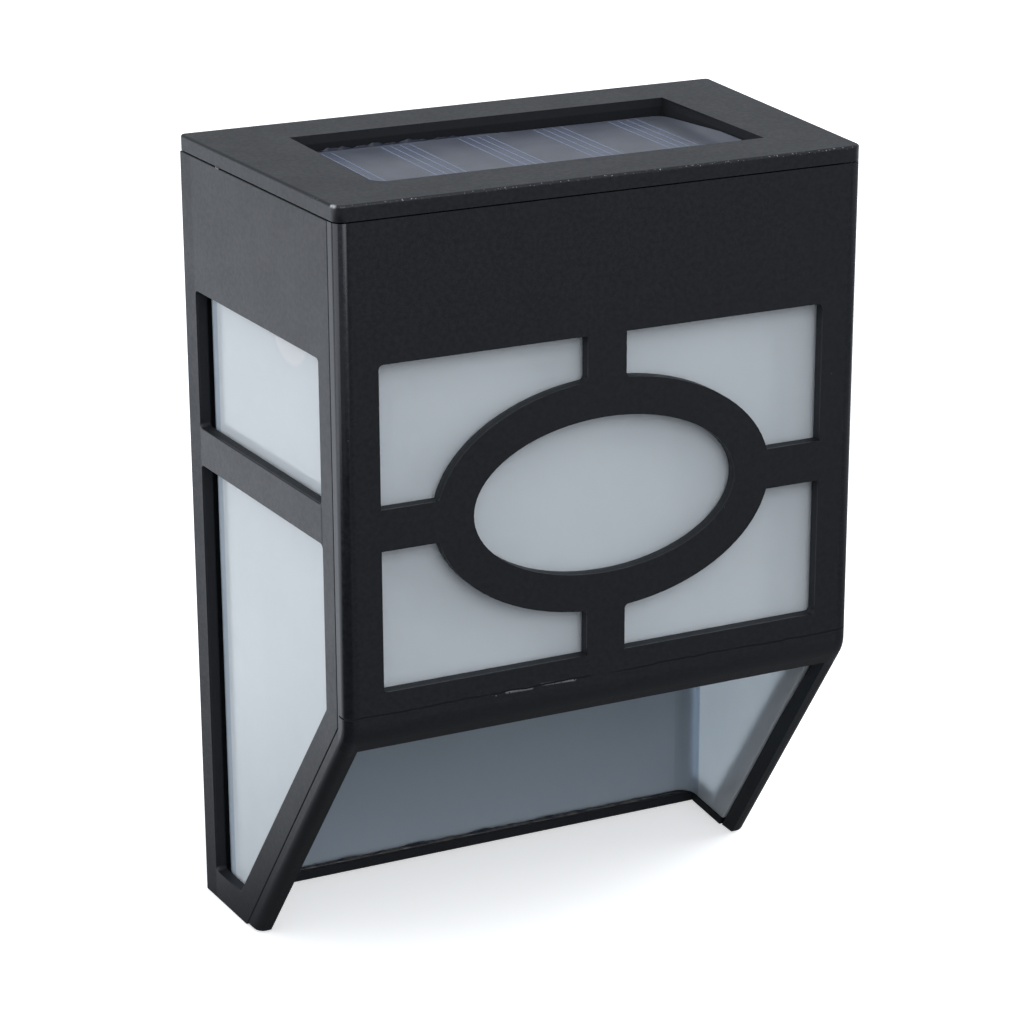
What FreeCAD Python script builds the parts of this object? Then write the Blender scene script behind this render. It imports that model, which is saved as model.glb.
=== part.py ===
"""Solar fence light: a black box lantern with a milky liner and a lift-out solar head.

Every piece is drawn with its z measured up from the bottom edge of the lamp, its y measured
back (0) to front (negative) from the wall, and x measured from the middle.  Its Placement then
lowers it, so that the origin of the part is on the wall, midway between the two keyholes.
"""
import FreeCAD, Part
import math
import os
import re
import Sketcher
from FreeCAD import Placement, Rotation, Vector

# Driving dimensions in millimetres, by the piece that they belong to.
SIZES = {
    # outside of the lamp
    "front_width": 106.4,        # over the front face
    "depth": 66.5,               # wall to front face
    "total_height": 157.5,
    "side_flare": 0.06,          # half width gained per mm towards the wall
    "bend_height": 57.3,         # below this the front leans back to the wall
    "bottom_depth": 23.9,        # depth that is left at the bottom
    "bend_radius": 6.5,
    "corner_radius": 2.1,
    "front_wall": 2.4,
    "side_wall": 2.3,
    # front shell
    "return_depth": 3.5,         # the shell's turn round each front corner
    "panel_seam": 0.2,
    "window_reach": 45.6,
    "window_top": 127.9,
    "window_bottom": 65.5,
    "spoke_width": 7.9,
    "oval_height": 96.8,
    "ring_outer_reach": 34.6,
    "ring_outer_rise": 22.5,
    "ring_inner_reach": 27.2,
    "ring_inner_rise": 15.25,
    "window_radius": 0.9,
    "bar_bottom": 53.5,
    "leg_width": 3.4,            # where it leaves the bar
    "leg_foot_width": 3.1,
    "tip_radius": 1.0,
    # side panels
    "side_window_back": 5.1,
    "side_window_front": 58.1,
    "side_upper_bottom": 100.5,
    "side_lower_top": 92.8,
    "side_slant_top": 60.6,
    "side_slant_foot": 16.7,
    "side_lower_bottom": 6.1,
    "lip_reach": 1.5,            # ledge along the foot of each panel, under the liner
    "lip_height": 1.8,
    # back plate and its keyholes
    "back_wall": 2.2,
    "ledge_depth": 5.5,
    "ledge_height": 2.0,
    "glue_gap": 0.1,             # to the side panels, filled with glue
    "keyhole_height": 136.5,
    "keyhole_spacing": 70.0,
    "keyhole_radius": 4.0,
    "slot_width": 3.8,
    "slot_rise": 6.5,
    # milky liner
    "liner_wall": 1.2,
    "liner_gap": 0.35,           # to the side panels and the back plate
    "liner_front_gap": 0.95,
    "liner_bottom": 2.1,
    "liner_top": 129.8,
    "liner_radius": 4.5,
    # solar cap
    "cap_band": 3.0,
    "cap_seam": 0.25,
    "cap_back_radius": 1.0,
    "cap_edge_radius": 0.5,
    "recess_reach": 39.8,
    "recess_back": 12.7,
    "recess_front": 53.0,
    "recess_radius": 3.0,        # its front left corner, and the board and resin
    "tray_wall": 1.5,
    "tray_floor": 1.0,
    "board_seat": 151.6,
    "skirt_gap": 0.35,
    "skirt_wall": 1.6,
    "skirt_foot": 150.0,
    "boss_radius": 3.0,
    "boss_foot": 149.5,
    "pilot_radius": 1.2,
    "pilot_top": 153.2,
    "wire_hole_radius": 2.6,
    "wire_hole_row": 37.0,
    # solar module
    "solar_board_thickness": 1.8,
    "solar_edge_gap": 0.3,
    "cell_thickness": 0.2,
    "cell_length": 15.1,
    "cell_pitch": 15.4,
    "cell_width": 36.0,
    "cell_room": 0.1,            # left free in the resin round the cells
    "tab_length": 5.0,
    "tab_width": 1.6,
    "tab_thickness": 0.1,
    "tab_row": 49.4,
    "resin_top": 154.0,
    # foam seal
    "seal_inset": 0.1,
    # head housing
    "housing_bottom": 131.4,
    "housing_floor": 133.0,
    "housing_top": 149.4,
    "housing_back": 8.6,
    "housing_wall": 1.6,
    "rim_bottom": 147.9,
    "post_reach": 46.0,
    "post_back": 14.5,
    "post_front": 57.0,
    "post_radius": 3.6,
    "screw_hole_radius": 1.6,
    "head_hole_radius": 2.9,
    "head_seat": 142.0,
    "screw_head_radius": 2.6,
    "screw_head_height": 1.8,
    "screw_radius": 1.15,
    "screw_tip": 152.5,
    "screw_root": 0.5,           # shared by the head and the shank
    "cross_length": 3.0,
    "cross_width": 0.7,
    "cross_depth": 0.9,
    # white reflector under the housing
    "reflector_bottom": 130.4,
    "reflector_top": 131.3,
    "reflector_inset": 3.4,
    "reflector_front": 62.7,
    "reflector_back": 3.0,
    "reflector_hole_gap": 0.2,   # more than the housing's own holes
    # battery and its contacts
    "cell_row": 24.0,
    "battery_axis_height": 141.0,
    "battery_radius": 7.1,
    "battery_length": 48.4,
    "battery_nub_radius": 2.7,
    "battery_nub_length": 1.4,
    "end_wall_reach": 26.1,
    "end_wall_thickness": 1.6,
    "end_wall_depth": 16.0,
    "end_wall_top": 147.0,
    "saddle_offset": 15.0,
    "saddle_thickness": 1.6,
    "saddle_top": 139.5,
    "saddle_gap": 0.15,
    "rib_root": 0.5,             # how deep ribs and posts start inside the floor
    "contact_thickness": 0.4,
    "contact_width": 9.0,
    "contact_height": 10.0,
    "contact_pin_radius": 0.8,
    "contact_pin_end": 28.1,     # how far the pins stand from the middle
    # circuit board and what is on it
    "board_length": 90.0,
    "board_width": 13.0,
    "board_row": 43.0,
    "board_bottom": 137.9,
    "board_thickness": 1.6,
    "board_post_reach": 26.0,
    "board_post_radius": 2.4,
    "lamp_reach": 42.0,
    "lamp_radius": 2.5,
    "lamp_flange_radius": 2.9,
    "lamp_flange_bottom": 133.1,
    "lamp_tip": 125.4,
    "lead_radius": 0.25,
    "lead_offset": 1.27,
    "lead_hole_gap": 0.1,
    "lead_tail": 0.8,            # what stands out above the board
    "lamp_hole_gap": 0.1,
    "chip_offset": 14.0,
    "chip_length": 4.6,
    "chip_width": 2.0,
    "chip_height": 3.4,
    "chip_stand": 0.8,
    "chip_leg_pitch": 1.27,
    "chip_leg_side": 0.4,
    "coil_offset": -14.0,
    "coil_radius": 1.7,
    "coil_length": 7.0,
    "coil_stand": 0.2,
    "coil_foot_reach": 5.4,
    # slide switch
    "switch_length": 8.6,
    "switch_width": 4.4,
    "switch_bottom": 133.4,
    "switch_top": 137.8,
    "switch_wall": 0.6,
    "knob_travel": 2.0,
    "knob_length": 1.6,
    "knob_width": 1.7,
    "knob_bottom": 129.4,
    "knob_foot_length": 3.4,
    "knob_foot_width": 2.8,
    "knob_foot_bottom": 134.4,
    "knob_foot_top": 135.4,
    "knob_slot_gap": 0.15,
    "floor_slot_gap": 0.4,       # round the knob, where it passes the housing's floor
    # wires
    "wire_radius": 0.6,
    "wire_row": 41.0,            # where the wires meet the circuit board
    "panel_wire_start": 1.1,
    "panel_wire_end": 5.0,
    "panel_wire_drop": 5.0,
    "panel_wire_fall": 8.0,
    "battery_wire_reach": 33.5,
    "battery_wire_rise": 4.5,
}

TILT = "atan((depth - bottom_depth) / bend_height)"
SHELL_TOP = "total_height - cap_band - cap_seam"
CAP_BOTTOM = "total_height - cap_band"
PANEL_FRONT = "return_depth + panel_seam"
FAR = "2 * depth"                # clear of everything, for the end of a cut
CELL_ROW = "(recess_front + recess_back) / 2"
CELL_SEAT = "board_seat + solar_board_thickness"
CELL_COUNT = 5
TAB_COUNT = CELL_COUNT - 1
CHIP_LEGS = 4
BOARD_TOP = "(board_bottom + board_thickness)"
FLANGE_TOP = "lamp_flange_bottom + 1"

document = FreeCAD.newDocument("FenceLight")
sheet = document.addObject("Spreadsheet::Sheet", "Sizes")
for row, (alias, size) in enumerate(SIZES.items(), start=1):
    sheet.set(f"A{row}", alias)
    sheet.set(f"B{row}", str(size))
    sheet.setAlias(f"B{row}", alias)
document.recompute()

alias_word = re.compile(r"\b(" + "|".join(SIZES) + r")\b")


def bound(expression):
    """Names the sheet in front of each size, so that other objects can be bound to it."""
    return alias_word.sub(r"Sizes.\1", expression)


def number(expression):
    """Works out an expression of the sheet's sizes."""
    return float(sheet.evalExpression(expression))


def lower_to_mount(node):
    """Puts the origin midway between the keyholes, on the wall."""
    node.setExpression("Placement.Base.z", bound("-keyhole_height"))
    return node


# ---------------------------------------------------------------- PartDesign helpers


def new_body(label):
    body = document.addObject("PartDesign::Body", label)
    body.Label = label
    return lower_to_mount(body)


def new_sketch(body, name, plane, offset="0"):
    """A sketch on one of the body's own planes, moved along that plane's normal."""
    origin_plane = [item for item in body.Origin.OriginFeatures if item.Role == plane][0]
    sketch = body.newObject("Sketcher::SketchObject", name)
    sketch.AttachmentSupport = [(origin_plane, "")]
    sketch.MapMode = "FlatFace"
    sketch.AttachmentOffset = Placement(Vector(0, 0, number(offset)), Rotation())
    sketch.setExpression("AttachmentOffset.Base.z", bound(offset))
    return sketch


def pin_point(sketch, element, point, across, up):
    """Holds one point of the sketch at two bound distances from the sketch's origin."""
    for kind, expression in (("DistanceX", across), ("DistanceY", up)):
        constraint = Sketcher.Constraint(kind, -1, 1, element, point, number(expression))
        index = sketch.addConstraint(constraint)
        sketch.setExpression(f"Constraints[{index}]", bound(expression))


def add_outline(sketch, corners):
    """A closed outline of straight edges through corners given as pairs of expressions."""
    points = [Vector(number(across), number(up), 0) for across, up in corners]
    first = sketch.GeometryCount
    count = len(points)
    for index in range(count):
        sketch.addGeometry(Part.LineSegment(points[index], points[(index + 1) % count]))
    for index in range(count):
        following = first + (index + 1) % count
        sketch.addConstraint(Sketcher.Constraint("Coincident", first + index, 2, following, 1))
    for index, (across, up) in enumerate(corners):
        pin_point(sketch, first + index, 1, across, up)


def add_circle(sketch, across, up, radius):
    centre = Vector(number(across), number(up), 0)
    circle = sketch.addGeometry(Part.Circle(centre, Vector(0, 0, 1), number(radius)))
    pin_point(sketch, circle, 3, across, up)
    index = sketch.addConstraint(Sketcher.Constraint("Radius", circle, number(radius)))
    sketch.setExpression(f"Constraints[{index}]", bound(radius))


def add_oval(sketch, up, reach, rise):
    """A level ellipse in the middle of the lamp, from its half width and half height."""
    centre = Vector(0, number(up), 0)
    side = centre + Vector(number(reach), 0, 0)
    top = centre + Vector(0, number(rise), 0)
    oval = sketch.addGeometry(Part.Ellipse(side, top, centre))
    sketch.exposeInternalGeometry(oval)
    pin_point(sketch, oval, 3, "0", up)
    sketch.addConstraint(Sketcher.Constraint("Horizontal", oval + 1))
    for axis, half in ((oval + 1, reach), (oval + 2, rise)):
        index = sketch.addConstraint(Sketcher.Constraint("Distance", axis, 2 * number(half)))
        sketch.setExpression(f"Constraints[{index}]", bound(f"2 * {half}"))


def pad(body, sketch, length, name, backwards=False, both_ways=False):
    feature = body.newObject("PartDesign::Pad", name)
    feature.Profile = sketch
    feature.Length = number(length)
    feature.setExpression("Length", bound(length))
    feature.Reversed = backwards
    feature.SideType = "Symmetric" if both_ways else "One side"
    sketch.Visibility = False
    document.recompute()
    return feature


def pocket(body, sketch, name, length=None, backwards=False, both_ways=False):
    """A cut to a bound depth, or right through when it has none; it has to remove something."""
    before = body.Shape.Volume
    feature = body.newObject("PartDesign::Pocket", name)
    feature.Profile = sketch
    if length is None:
        feature.Type = "ThroughAll"
    else:
        feature.Length = number(length)
        feature.setExpression("Length", bound(length))
    feature.Reversed = backwards
    feature.SideType = "Symmetric" if both_ways else "One side"
    document.recompute()
    if body.Shape.Volume > before - 0.01:
        raise RuntimeError(f"{name} of {body.Label} cuts nothing")
    return feature


def fillet(body, name, radius, wanted):
    """Rounds the edges of the body's last feature whose middle and ends pass the test."""
    feature = body.Tip
    names = []
    for index, edge in enumerate(feature.Shape.Edges, start=1):
        middle = edge.valueAt((edge.FirstParameter + edge.LastParameter) / 2)
        ends = [vertex.Point for vertex in edge.Vertexes]
        if wanted(middle, ends):
            names.append(f"Edge{index}")
    if not names:
        raise RuntimeError(f"{name} of {body.Label} finds no edge")
    rounded = body.newObject("PartDesign::Fillet", name)
    rounded.Base = (feature, names)
    rounded.Radius = number(radius)
    rounded.setExpression("Radius", bound(radius))
    document.recompute()
    return rounded


def near(value, target, room=0.01):
    return abs(value - target) < room


def is_upright(ends):
    """True for the two ends of an edge that runs along Z."""
    if len(ends) != 2:
        return False
    return near(ends[0].x, ends[1].x) and near(ends[0].y, ends[1].y)


def is_fore_and_aft(ends):
    """True for the two ends of an edge that runs along Y."""
    if len(ends) != 2:
        return False
    return near(ends[0].x, ends[1].x) and near(ends[0].z, ends[1].z)


# ---------------------------------------------------------------- Part helpers


def new_box(name, length, width, height, left, front, low):
    """A box from bound sizes and the bound place of its lowest corner."""
    box = document.addObject("Part::Box", name)
    places = {"Length": length, "Width": width, "Height": height, "Placement.Base.x": left,
              "Placement.Base.y": front, "Placement.Base.z": low}
    for place, expression in places.items():
        box.setExpression(place, bound(expression))
    box.Visibility = False
    return box


def new_rod(name, radius, length, across, forward, low, direction="up"):
    """A cylinder from bound sizes, standing up or lying across the lamp."""
    rod = document.addObject("Part::Cylinder", name)
    if direction == "across":
        rod.Placement = Placement(Vector(), Rotation(Vector(0, 1, 0), 90))
    places = {"Radius": radius, "Height": length, "Placement.Base.x": across,
              "Placement.Base.y": f"-({forward})", "Placement.Base.z": low}
    for place, expression in places.items():
        rod.setExpression(place, bound(expression))
    rod.Visibility = False
    return rod


def gather(label, pieces, kind="Part::Compound"):
    """One node made of several pieces: a group of separate solids, or their union."""
    node = document.addObject(kind, label)
    if kind == "Part::Compound":
        node.Links = pieces
    else:
        node.Shapes = pieces
    node.Label = label
    return lower_to_mount(node)


def cut_away(label, body, tools):
    """One node made by cutting a union of tools out of a body."""
    tool = tools[0]
    if len(tools) > 1:
        tool = document.addObject("Part::MultiFuse", f"{label}_cutters")
        tool.Shapes = tools
    node = document.addObject("Part::Cut", label)
    node.Base = body
    node.Tool = tool
    node.Label = label
    return lower_to_mount(node)


# ---------------------------------------------------------------- shared outlines


def half_width(forward, inset="0"):
    """Half the flared width at a distance in front of the wall, less an inset."""
    return f"(front_width / 2 + side_flare * (depth - ({forward})) - ({inset}))"


def plan(inset, front, back):
    """Corners of the flared plan between two distances in front of the wall."""
    return [
        (half_width(back, inset), f"-({back})"),
        (half_width(front, inset), f"-({front})"),
        (f"-{half_width(front, inset)}", f"-({front})"),
        (f"-{half_width(back, inset)}", f"-({back})"),
    ]


def front_line(inset, top):
    """The bent front in side view, moved inwards: its top, its bend and its foot."""
    return [
        (f"-(depth - ({inset}))", top),
        (f"-(depth - ({inset}))", f"bend_height + ({inset}) * tan({TILT} / 2)"),
        (f"-(bottom_depth - ({inset}) / cos({TILT}))", "0"),
    ]


def box_corners(left, right, low, high):
    return [(left, low), (right, low), (right, high), (left, high)]


# ---------------------------------------------------------------- lamp body


def front_shell():
    """Moulded front: an opaque band, the oval window frame, and two legs that lean back."""
    body = new_body("front_shell")

    side_view = new_sketch(body, "bent_strip_outline", "YZ_Plane")
    inner_line = front_line("return_depth", SHELL_TOP)
    add_outline(side_view, front_line("0", SHELL_TOP) + inner_line[::-1])
    pad(body, side_view, "1.5 * front_width", "bent_strip", both_ways=True)

    top_view = new_sketch(body, "flare_trim_outline", "XY_Plane")
    for side in ("", "-"):
        add_outline(top_view, [
            (f"{side}{half_width('0')}", "0"),
            (f"{side}{half_width('depth + 1')}", "-(depth + 1)"),
            (f"{side}front_width", "-(depth + 1)"),
            (f"{side}front_width", "0"),
        ])
    pocket(body, top_view, "flare_trim", both_ways=True)

    bend = number("bend_height")
    front = -number("depth")
    fillet(body, "bend_rounding", "bend_radius",
           lambda middle, ends: near(middle.z, bend) and near(middle.y, front))

    flare = number("side_flare")
    reach_at_wall = number(half_width("0"))
    lean = number("(depth - bottom_depth) / bend_height")

    def on_front_corner(middle, ends):
        at_side = near(abs(middle.x), reach_at_wall + flare * middle.y)
        surface = front if middle.z > bend else front + (bend - middle.z) * lean
        runs_down = abs(ends[0].z - ends[1].z) > 1
        return at_side and runs_down and middle.y - surface < number("return_depth / 2")

    fillet(body, "corner_rounding", "corner_radius", on_front_corner)

    side_view = new_sketch(body, "liner_seat_outline", "YZ_Plane")
    wall_line = front_line("front_wall", f"{SHELL_TOP} + 1")
    beyond_line = front_line("return_depth + 2", f"{SHELL_TOP} + 1")
    add_outline(side_view, wall_line + beyond_line[::-1])
    seat_length = f"2 * ({half_width('depth')} - side_wall)"
    pocket(body, side_view, "liner_seat", seat_length, both_ways=True)

    front_view = new_sketch(body, "window_outline", "XZ_Plane", "depth")
    add_outline(front_view, box_corners("-window_reach", "window_reach",
                                        "window_bottom", "window_top"))
    pocket(body, front_view, "window", "return_depth + 1")
    fillet(body, "window_rounding", "window_radius",
           lambda middle, ends: is_fore_and_aft(ends)
           and near(abs(middle.x), number("window_reach"), 0.5)
           and number("window_bottom - 1") < middle.z < number("window_top + 1"))

    spoke_view = new_sketch(body, "upright_spoke_outline", "XZ_Plane", "depth")
    ring_middle = "(ring_outer_rise + ring_inner_rise) / 2"
    half_spoke = "spoke_width / 2"
    add_outline(spoke_view, box_corners(f"-{half_spoke}", half_spoke,
                                        f"oval_height + {ring_middle}", "window_top + 1"))
    add_outline(spoke_view, box_corners(f"-{half_spoke}", half_spoke,
                                        "window_bottom - 1", f"oval_height - {ring_middle}"))
    pad(body, spoke_view, "front_wall", "upright_spokes", backwards=True)

    ring_view = new_sketch(body, "oval_ring_outline", "XZ_Plane", "depth")
    add_oval(ring_view, "oval_height", "ring_outer_reach", "ring_outer_rise")
    add_oval(ring_view, "oval_height", "ring_inner_reach", "ring_inner_rise")
    pad(body, ring_view, "front_wall", "oval_ring", backwards=True)

    spoke_view = new_sketch(body, "level_spoke_outline", "XZ_Plane", "depth")
    ring_side = "(ring_outer_reach + ring_inner_reach) / 2"
    for side in ("", "-"):
        add_outline(spoke_view, box_corners(f"{side}{ring_side}", f"{side}(window_reach + 1)",
                                            f"oval_height - {half_spoke}",
                                            f"oval_height + {half_spoke}"))
    pad(body, spoke_view, "front_wall", "level_spokes", backwards=True)

    reach = number("ring_outer_reach")
    fillet(body, "spoke_rounding", "window_radius",
           lambda middle, ends: is_fore_and_aft(ends) and abs(middle.x) < reach
           and near(middle.y, front + number("front_wall / 2"), 0.1)
           and abs(abs(middle.z - number("oval_height")) - number("ring_outer_rise")) < 1
           and abs(middle.x) > 1)

    front_view = new_sketch(body, "leg_gap_outline", "XZ_Plane")
    bar_forward = f"(depth - (bend_height - bar_bottom) * tan({TILT}))"
    top_reach = half_width(bar_forward, "leg_width")
    foot_reach = half_width("bottom_depth", "leg_foot_width")
    add_outline(front_view, [
        (f"-{top_reach}", "bar_bottom"),
        (top_reach, "bar_bottom"),
        (foot_reach, "0"),
        (foot_reach, "-1"),
        (f"-{foot_reach}", "-1"),
        (f"-{foot_reach}", "0"),
    ])
    pocket(body, front_view, "leg_gap", both_ways=True)
    foot = -number("bottom_depth")
    fillet(body, "tip_rounding", "tip_radius",
           lambda middle, ends: near(middle.z, 0) and near(middle.y, foot))
    return body


def side_panel(label, side):
    """Flat glued-in side with two windows; its front edge follows the bent front shell."""
    body = new_body(label)
    top_view = new_sketch(body, "panel_outline", "XY_Plane")
    add_outline(top_view, [
        (f"{side}{half_width('0')}", "0"),
        (f"{side}{half_width('depth')}", "-depth"),
        (f"{side}{half_width('depth', 'side_wall')}", "-depth"),
        (f"{side}{half_width('0', 'side_wall')}", "0"),
    ])
    pad(body, top_view, SHELL_TOP, "panel")

    side_view = new_sketch(body, "front_edge_outline", "YZ_Plane")
    seam = front_line(PANEL_FRONT, f"{SHELL_TOP} + 1")
    ahead = "-(depth + 1)"
    below = [(f"{seam[2][0]} + tan({TILT})", "-1"), (ahead, "-1")]
    add_outline(side_view, seam + below + [(ahead, f"{SHELL_TOP} + 1")])
    pocket(body, side_view, "front_edge", both_ways=True)

    side_view = new_sketch(body, "side_window_outline", "YZ_Plane")
    add_outline(side_view, box_corners("-side_window_front", "-side_window_back",
                                       "side_upper_bottom", "window_top"))
    add_outline(side_view, [
        ("-side_window_back", "side_lower_bottom"),
        ("-side_window_back", "side_lower_top"),
        ("-side_window_front", "side_lower_top"),
        ("-side_window_front", "side_slant_top"),
        ("-side_slant_foot", "side_lower_bottom"),
    ])
    pocket(body, side_view, "side_windows", both_ways=True)
    window_back = -number("side_window_back")
    window_front = -number("side_window_front")
    fillet(body, "side_window_rounding", "window_radius",
           lambda middle, ends: abs(ends[0].x - ends[1].x) > 1
           and (near(middle.y, window_back, 0.1) or near(middle.y, window_front, 0.1)))

    top_view = new_sketch(body, "lip_outline", "XY_Plane")
    lip_back = "ledge_depth + glue_gap"
    lip_front = f"bottom_depth - ({PANEL_FRONT}) / cos({TILT})"
    root = "side_wall / 2"
    edge = "side_wall + lip_reach"
    add_outline(top_view, [
        (f"{side}{half_width(lip_back, root)}", f"-({lip_back})"),
        (f"{side}{half_width(lip_front, root)}", f"-({lip_front})"),
        (f"{side}{half_width(lip_front, edge)}", f"-({lip_front})"),
        (f"{side}{half_width(lip_back, edge)}", f"-({lip_back})"),
    ])
    pad(body, top_view, "lip_height", "liner_lip")
    return body


def back_plate():
    """Back of the lamp between the side panels, with two keyholes and a ledge at the bottom."""
    body = new_body("back_plate")
    inset = "side_wall + glue_gap"
    top_view = new_sketch(body, "plate_outline", "XY_Plane")
    add_outline(top_view, plan(inset, "back_wall", "0"))
    pad(body, top_view, SHELL_TOP, "plate")

    top_view = new_sketch(body, "ledge_outline", "XY_Plane")
    add_outline(top_view, plan(inset, "ledge_depth", "back_wall / 2"))
    pad(body, top_view, "ledge_height", "ledge")

    front_view = new_sketch(body, "keyhole_entry_outline", "XZ_Plane")
    for side in ("", "-"):
        add_circle(front_view, f"{side}keyhole_spacing / 2", "keyhole_height", "keyhole_radius")
    pocket(body, front_view, "keyhole_entries", both_ways=True)

    front_view = new_sketch(body, "keyhole_slot_outline", "XZ_Plane")
    for side in ("", "-"):
        middle = f"{side}keyhole_spacing / 2"
        add_outline(front_view, box_corners(f"{middle} - slot_width / 2",
                                            f"{middle} + slot_width / 2",
                                            "keyhole_height", "keyhole_height + slot_rise"))
    pocket(body, front_view, "keyhole_slots", both_ways=True)

    front_view = new_sketch(body, "keyhole_top_outline", "XZ_Plane")
    for side in ("", "-"):
        add_circle(front_view, f"{side}keyhole_spacing / 2", "keyhole_height + slot_rise",
                   "slot_width / 2")
    pocket(body, front_view, "keyhole_tops", both_ways=True)
    return body


def diffuser_liner():
    """One-piece milky sleeve behind all the windows, open at the top and at the slanted front."""
    body = new_body("diffuser_liner")
    front = "depth - front_wall - liner_front_gap"
    back = "back_wall + liner_gap"
    top_view = new_sketch(body, "sleeve_outline", "XY_Plane", "liner_bottom")
    add_outline(top_view, plan("side_wall + liner_gap", front, back))
    pad(body, top_view, "liner_top - liner_bottom", "sleeve")

    top_view = new_sketch(body, "bore_outline", "XY_Plane", "liner_bottom")
    add_outline(top_view, plan("side_wall + liner_gap + liner_wall", f"{front} - liner_wall",
                               f"{back} + liner_wall"))
    pocket(body, top_view, "bore", backwards=True)
    inner_front = -number(f"{front} - liner_wall")
    inner_back = -number(f"{back} + liner_wall")
    fillet(body, "bore_rounding", "liner_radius - liner_wall",
           lambda middle, ends: is_upright(ends)
           and (near(middle.y, inner_front) or near(middle.y, inner_back)))
    outer_front = -number(front)
    outer_back = -number(back)
    fillet(body, "sleeve_rounding", "liner_radius",
           lambda middle, ends: is_upright(ends)
           and (near(middle.y, outer_front) or near(middle.y, outer_back)))

    side_view = new_sketch(body, "slant_outline", "YZ_Plane")
    bend, foot = front_line("return_depth + liner_gap", "0")[1:]
    add_outline(side_view, [bend, foot, (foot[0], "-1"), (f"-{FAR}", "-1"), (f"-{FAR}", bend[1])])
    pocket(body, side_view, "slant", both_ways=True)
    return body


# ---------------------------------------------------------------- solar head


def post_places():
    """The four screw posts of the head, as pairs of expressions."""
    return [(f"{side}post_reach", f"-{row}") for row in ("post_back", "post_front")
            for side in ("", "-")]


def skirt_plan(inset):
    """Plan of the part of the head that drops into the lamp body."""
    return plan(f"side_wall + {inset}", f"depth - front_wall - ({inset})",
                f"back_wall + {inset}")


def knob_slot(gap):
    """Corners of the opening for the knob's whole travel, with a gap all round."""
    reach = f"((knob_travel + knob_length) / 2 + {gap})"
    half = f"(knob_width / 2 + {gap})"
    return box_corners(f"-{reach}", reach, f"-(board_row + {half})", f"-(board_row - {half})")


def solar_cap():
    """Lid of the head: a band flush with the body, a sunk tray, a skirt and four bosses."""
    body = new_body("solar_cap")
    top_view = new_sketch(body, "lid_outline", "XY_Plane", CAP_BOTTOM)
    add_outline(top_view, plan("0", "depth", "0"))
    pad(body, top_view, "cap_band", "lid")
    front = -number("depth")
    fillet(body, "lid_front_rounding", "corner_radius",
           lambda middle, ends: is_upright(ends) and near(middle.y, front))
    fillet(body, "lid_back_rounding", "cap_back_radius",
           lambda middle, ends: is_upright(ends) and near(middle.y, 0))
    top = number("total_height")
    fillet(body, "lid_edge_rounding", "cap_edge_radius",
           lambda middle, ends: near(middle.z, top))

    tray_drop = "total_height - board_seat + tray_floor"
    top_view = new_sketch(body, "tray_outline", "XY_Plane", f"total_height - ({tray_drop})")
    add_outline(top_view, box_corners("-(recess_reach + tray_wall)", "recess_reach + tray_wall",
                                      "-(recess_front + tray_wall)",
                                      "-(recess_back - tray_wall)"))
    pad(body, top_view, f"{tray_drop} - 1", "tray")

    top_view = new_sketch(body, "skirt_outline", "XY_Plane", "skirt_foot")
    add_outline(top_view, skirt_plan("skirt_gap"))
    add_outline(top_view, skirt_plan("skirt_gap + skirt_wall"))
    pad(body, top_view, f"{CAP_BOTTOM} - skirt_foot + 1", "skirt")

    top_view = new_sketch(body, "boss_outline", "XY_Plane", "boss_foot")
    for across, up in post_places():
        add_circle(top_view, across, up, "boss_radius")
    pad(body, top_view, f"{CAP_BOTTOM} - boss_foot + 1", "bosses")

    top_view = new_sketch(body, "recess_outline", "XY_Plane", "total_height")
    add_outline(top_view, box_corners("-recess_reach", "recess_reach",
                                      "-recess_front", "-recess_back"))
    pocket(body, top_view, "recess", "total_height - board_seat")
    recess_front = -number("recess_front")
    recess_left = -number("recess_reach")
    fillet(body, "recess_rounding", "recess_radius",
           lambda middle, ends: is_upright(ends) and near(middle.y, recess_front)
           and near(middle.x, recess_left))

    top_view = new_sketch(body, "pilot_outline", "XY_Plane", "boss_foot")
    for across, up in post_places():
        add_circle(top_view, across, up, "pilot_radius")
    pocket(body, top_view, "pilots", "pilot_top - boss_foot", backwards=True)

    top_view = new_sketch(body, "wire_hole_outline", "XY_Plane", "board_seat")
    add_circle(top_view, "0", "-wire_hole_row", "wire_hole_radius")
    pocket(body, top_view, "wire_hole")
    return body


def solar_board():
    """Backing board of the solar module, lying on the floor of the cap's tray."""
    body = new_body("solar_board")
    reach = "recess_reach - solar_edge_gap"
    top_view = new_sketch(body, "board_outline", "XY_Plane", "board_seat")
    add_outline(top_view, box_corners(f"-({reach})", reach, "-(recess_front - solar_edge_gap)",
                                      "-(recess_back + solar_edge_gap)"))
    pad(body, top_view, "solar_board_thickness", "board")
    fillet(body, "board_rounding", "recess_radius", lambda middle, ends: is_upright(ends))
    return body


def solar_cells():
    """Dark cells side by side on the board, each one running front to back."""
    cells = []
    for index in range(CELL_COUNT):
        middle = f"{index - (CELL_COUNT - 1) / 2} * cell_pitch"
        cells.append(new_box(f"cell_{index + 1}", "cell_length", "cell_width", "cell_thickness",
                             f"{middle} - cell_length / 2",
                             f"-({CELL_ROW}) - cell_width / 2", CELL_SEAT))
    return gather("solar_cells", cells)


def cell_tabs():
    """Thin tinned tabs that join each cell to the next one, near the front rim."""
    tabs = []
    for index in range(TAB_COUNT):
        middle = f"{index - (TAB_COUNT - 1) / 2} * cell_pitch"
        tabs.append(new_box(f"tab_{index + 1}", "tab_length", "tab_width", "tab_thickness",
                            f"{middle} - tab_length / 2", "-tab_row - tab_width / 2",
                            f"{CELL_SEAT} + cell_thickness"))
    return gather("cell_tabs", tabs)


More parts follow.
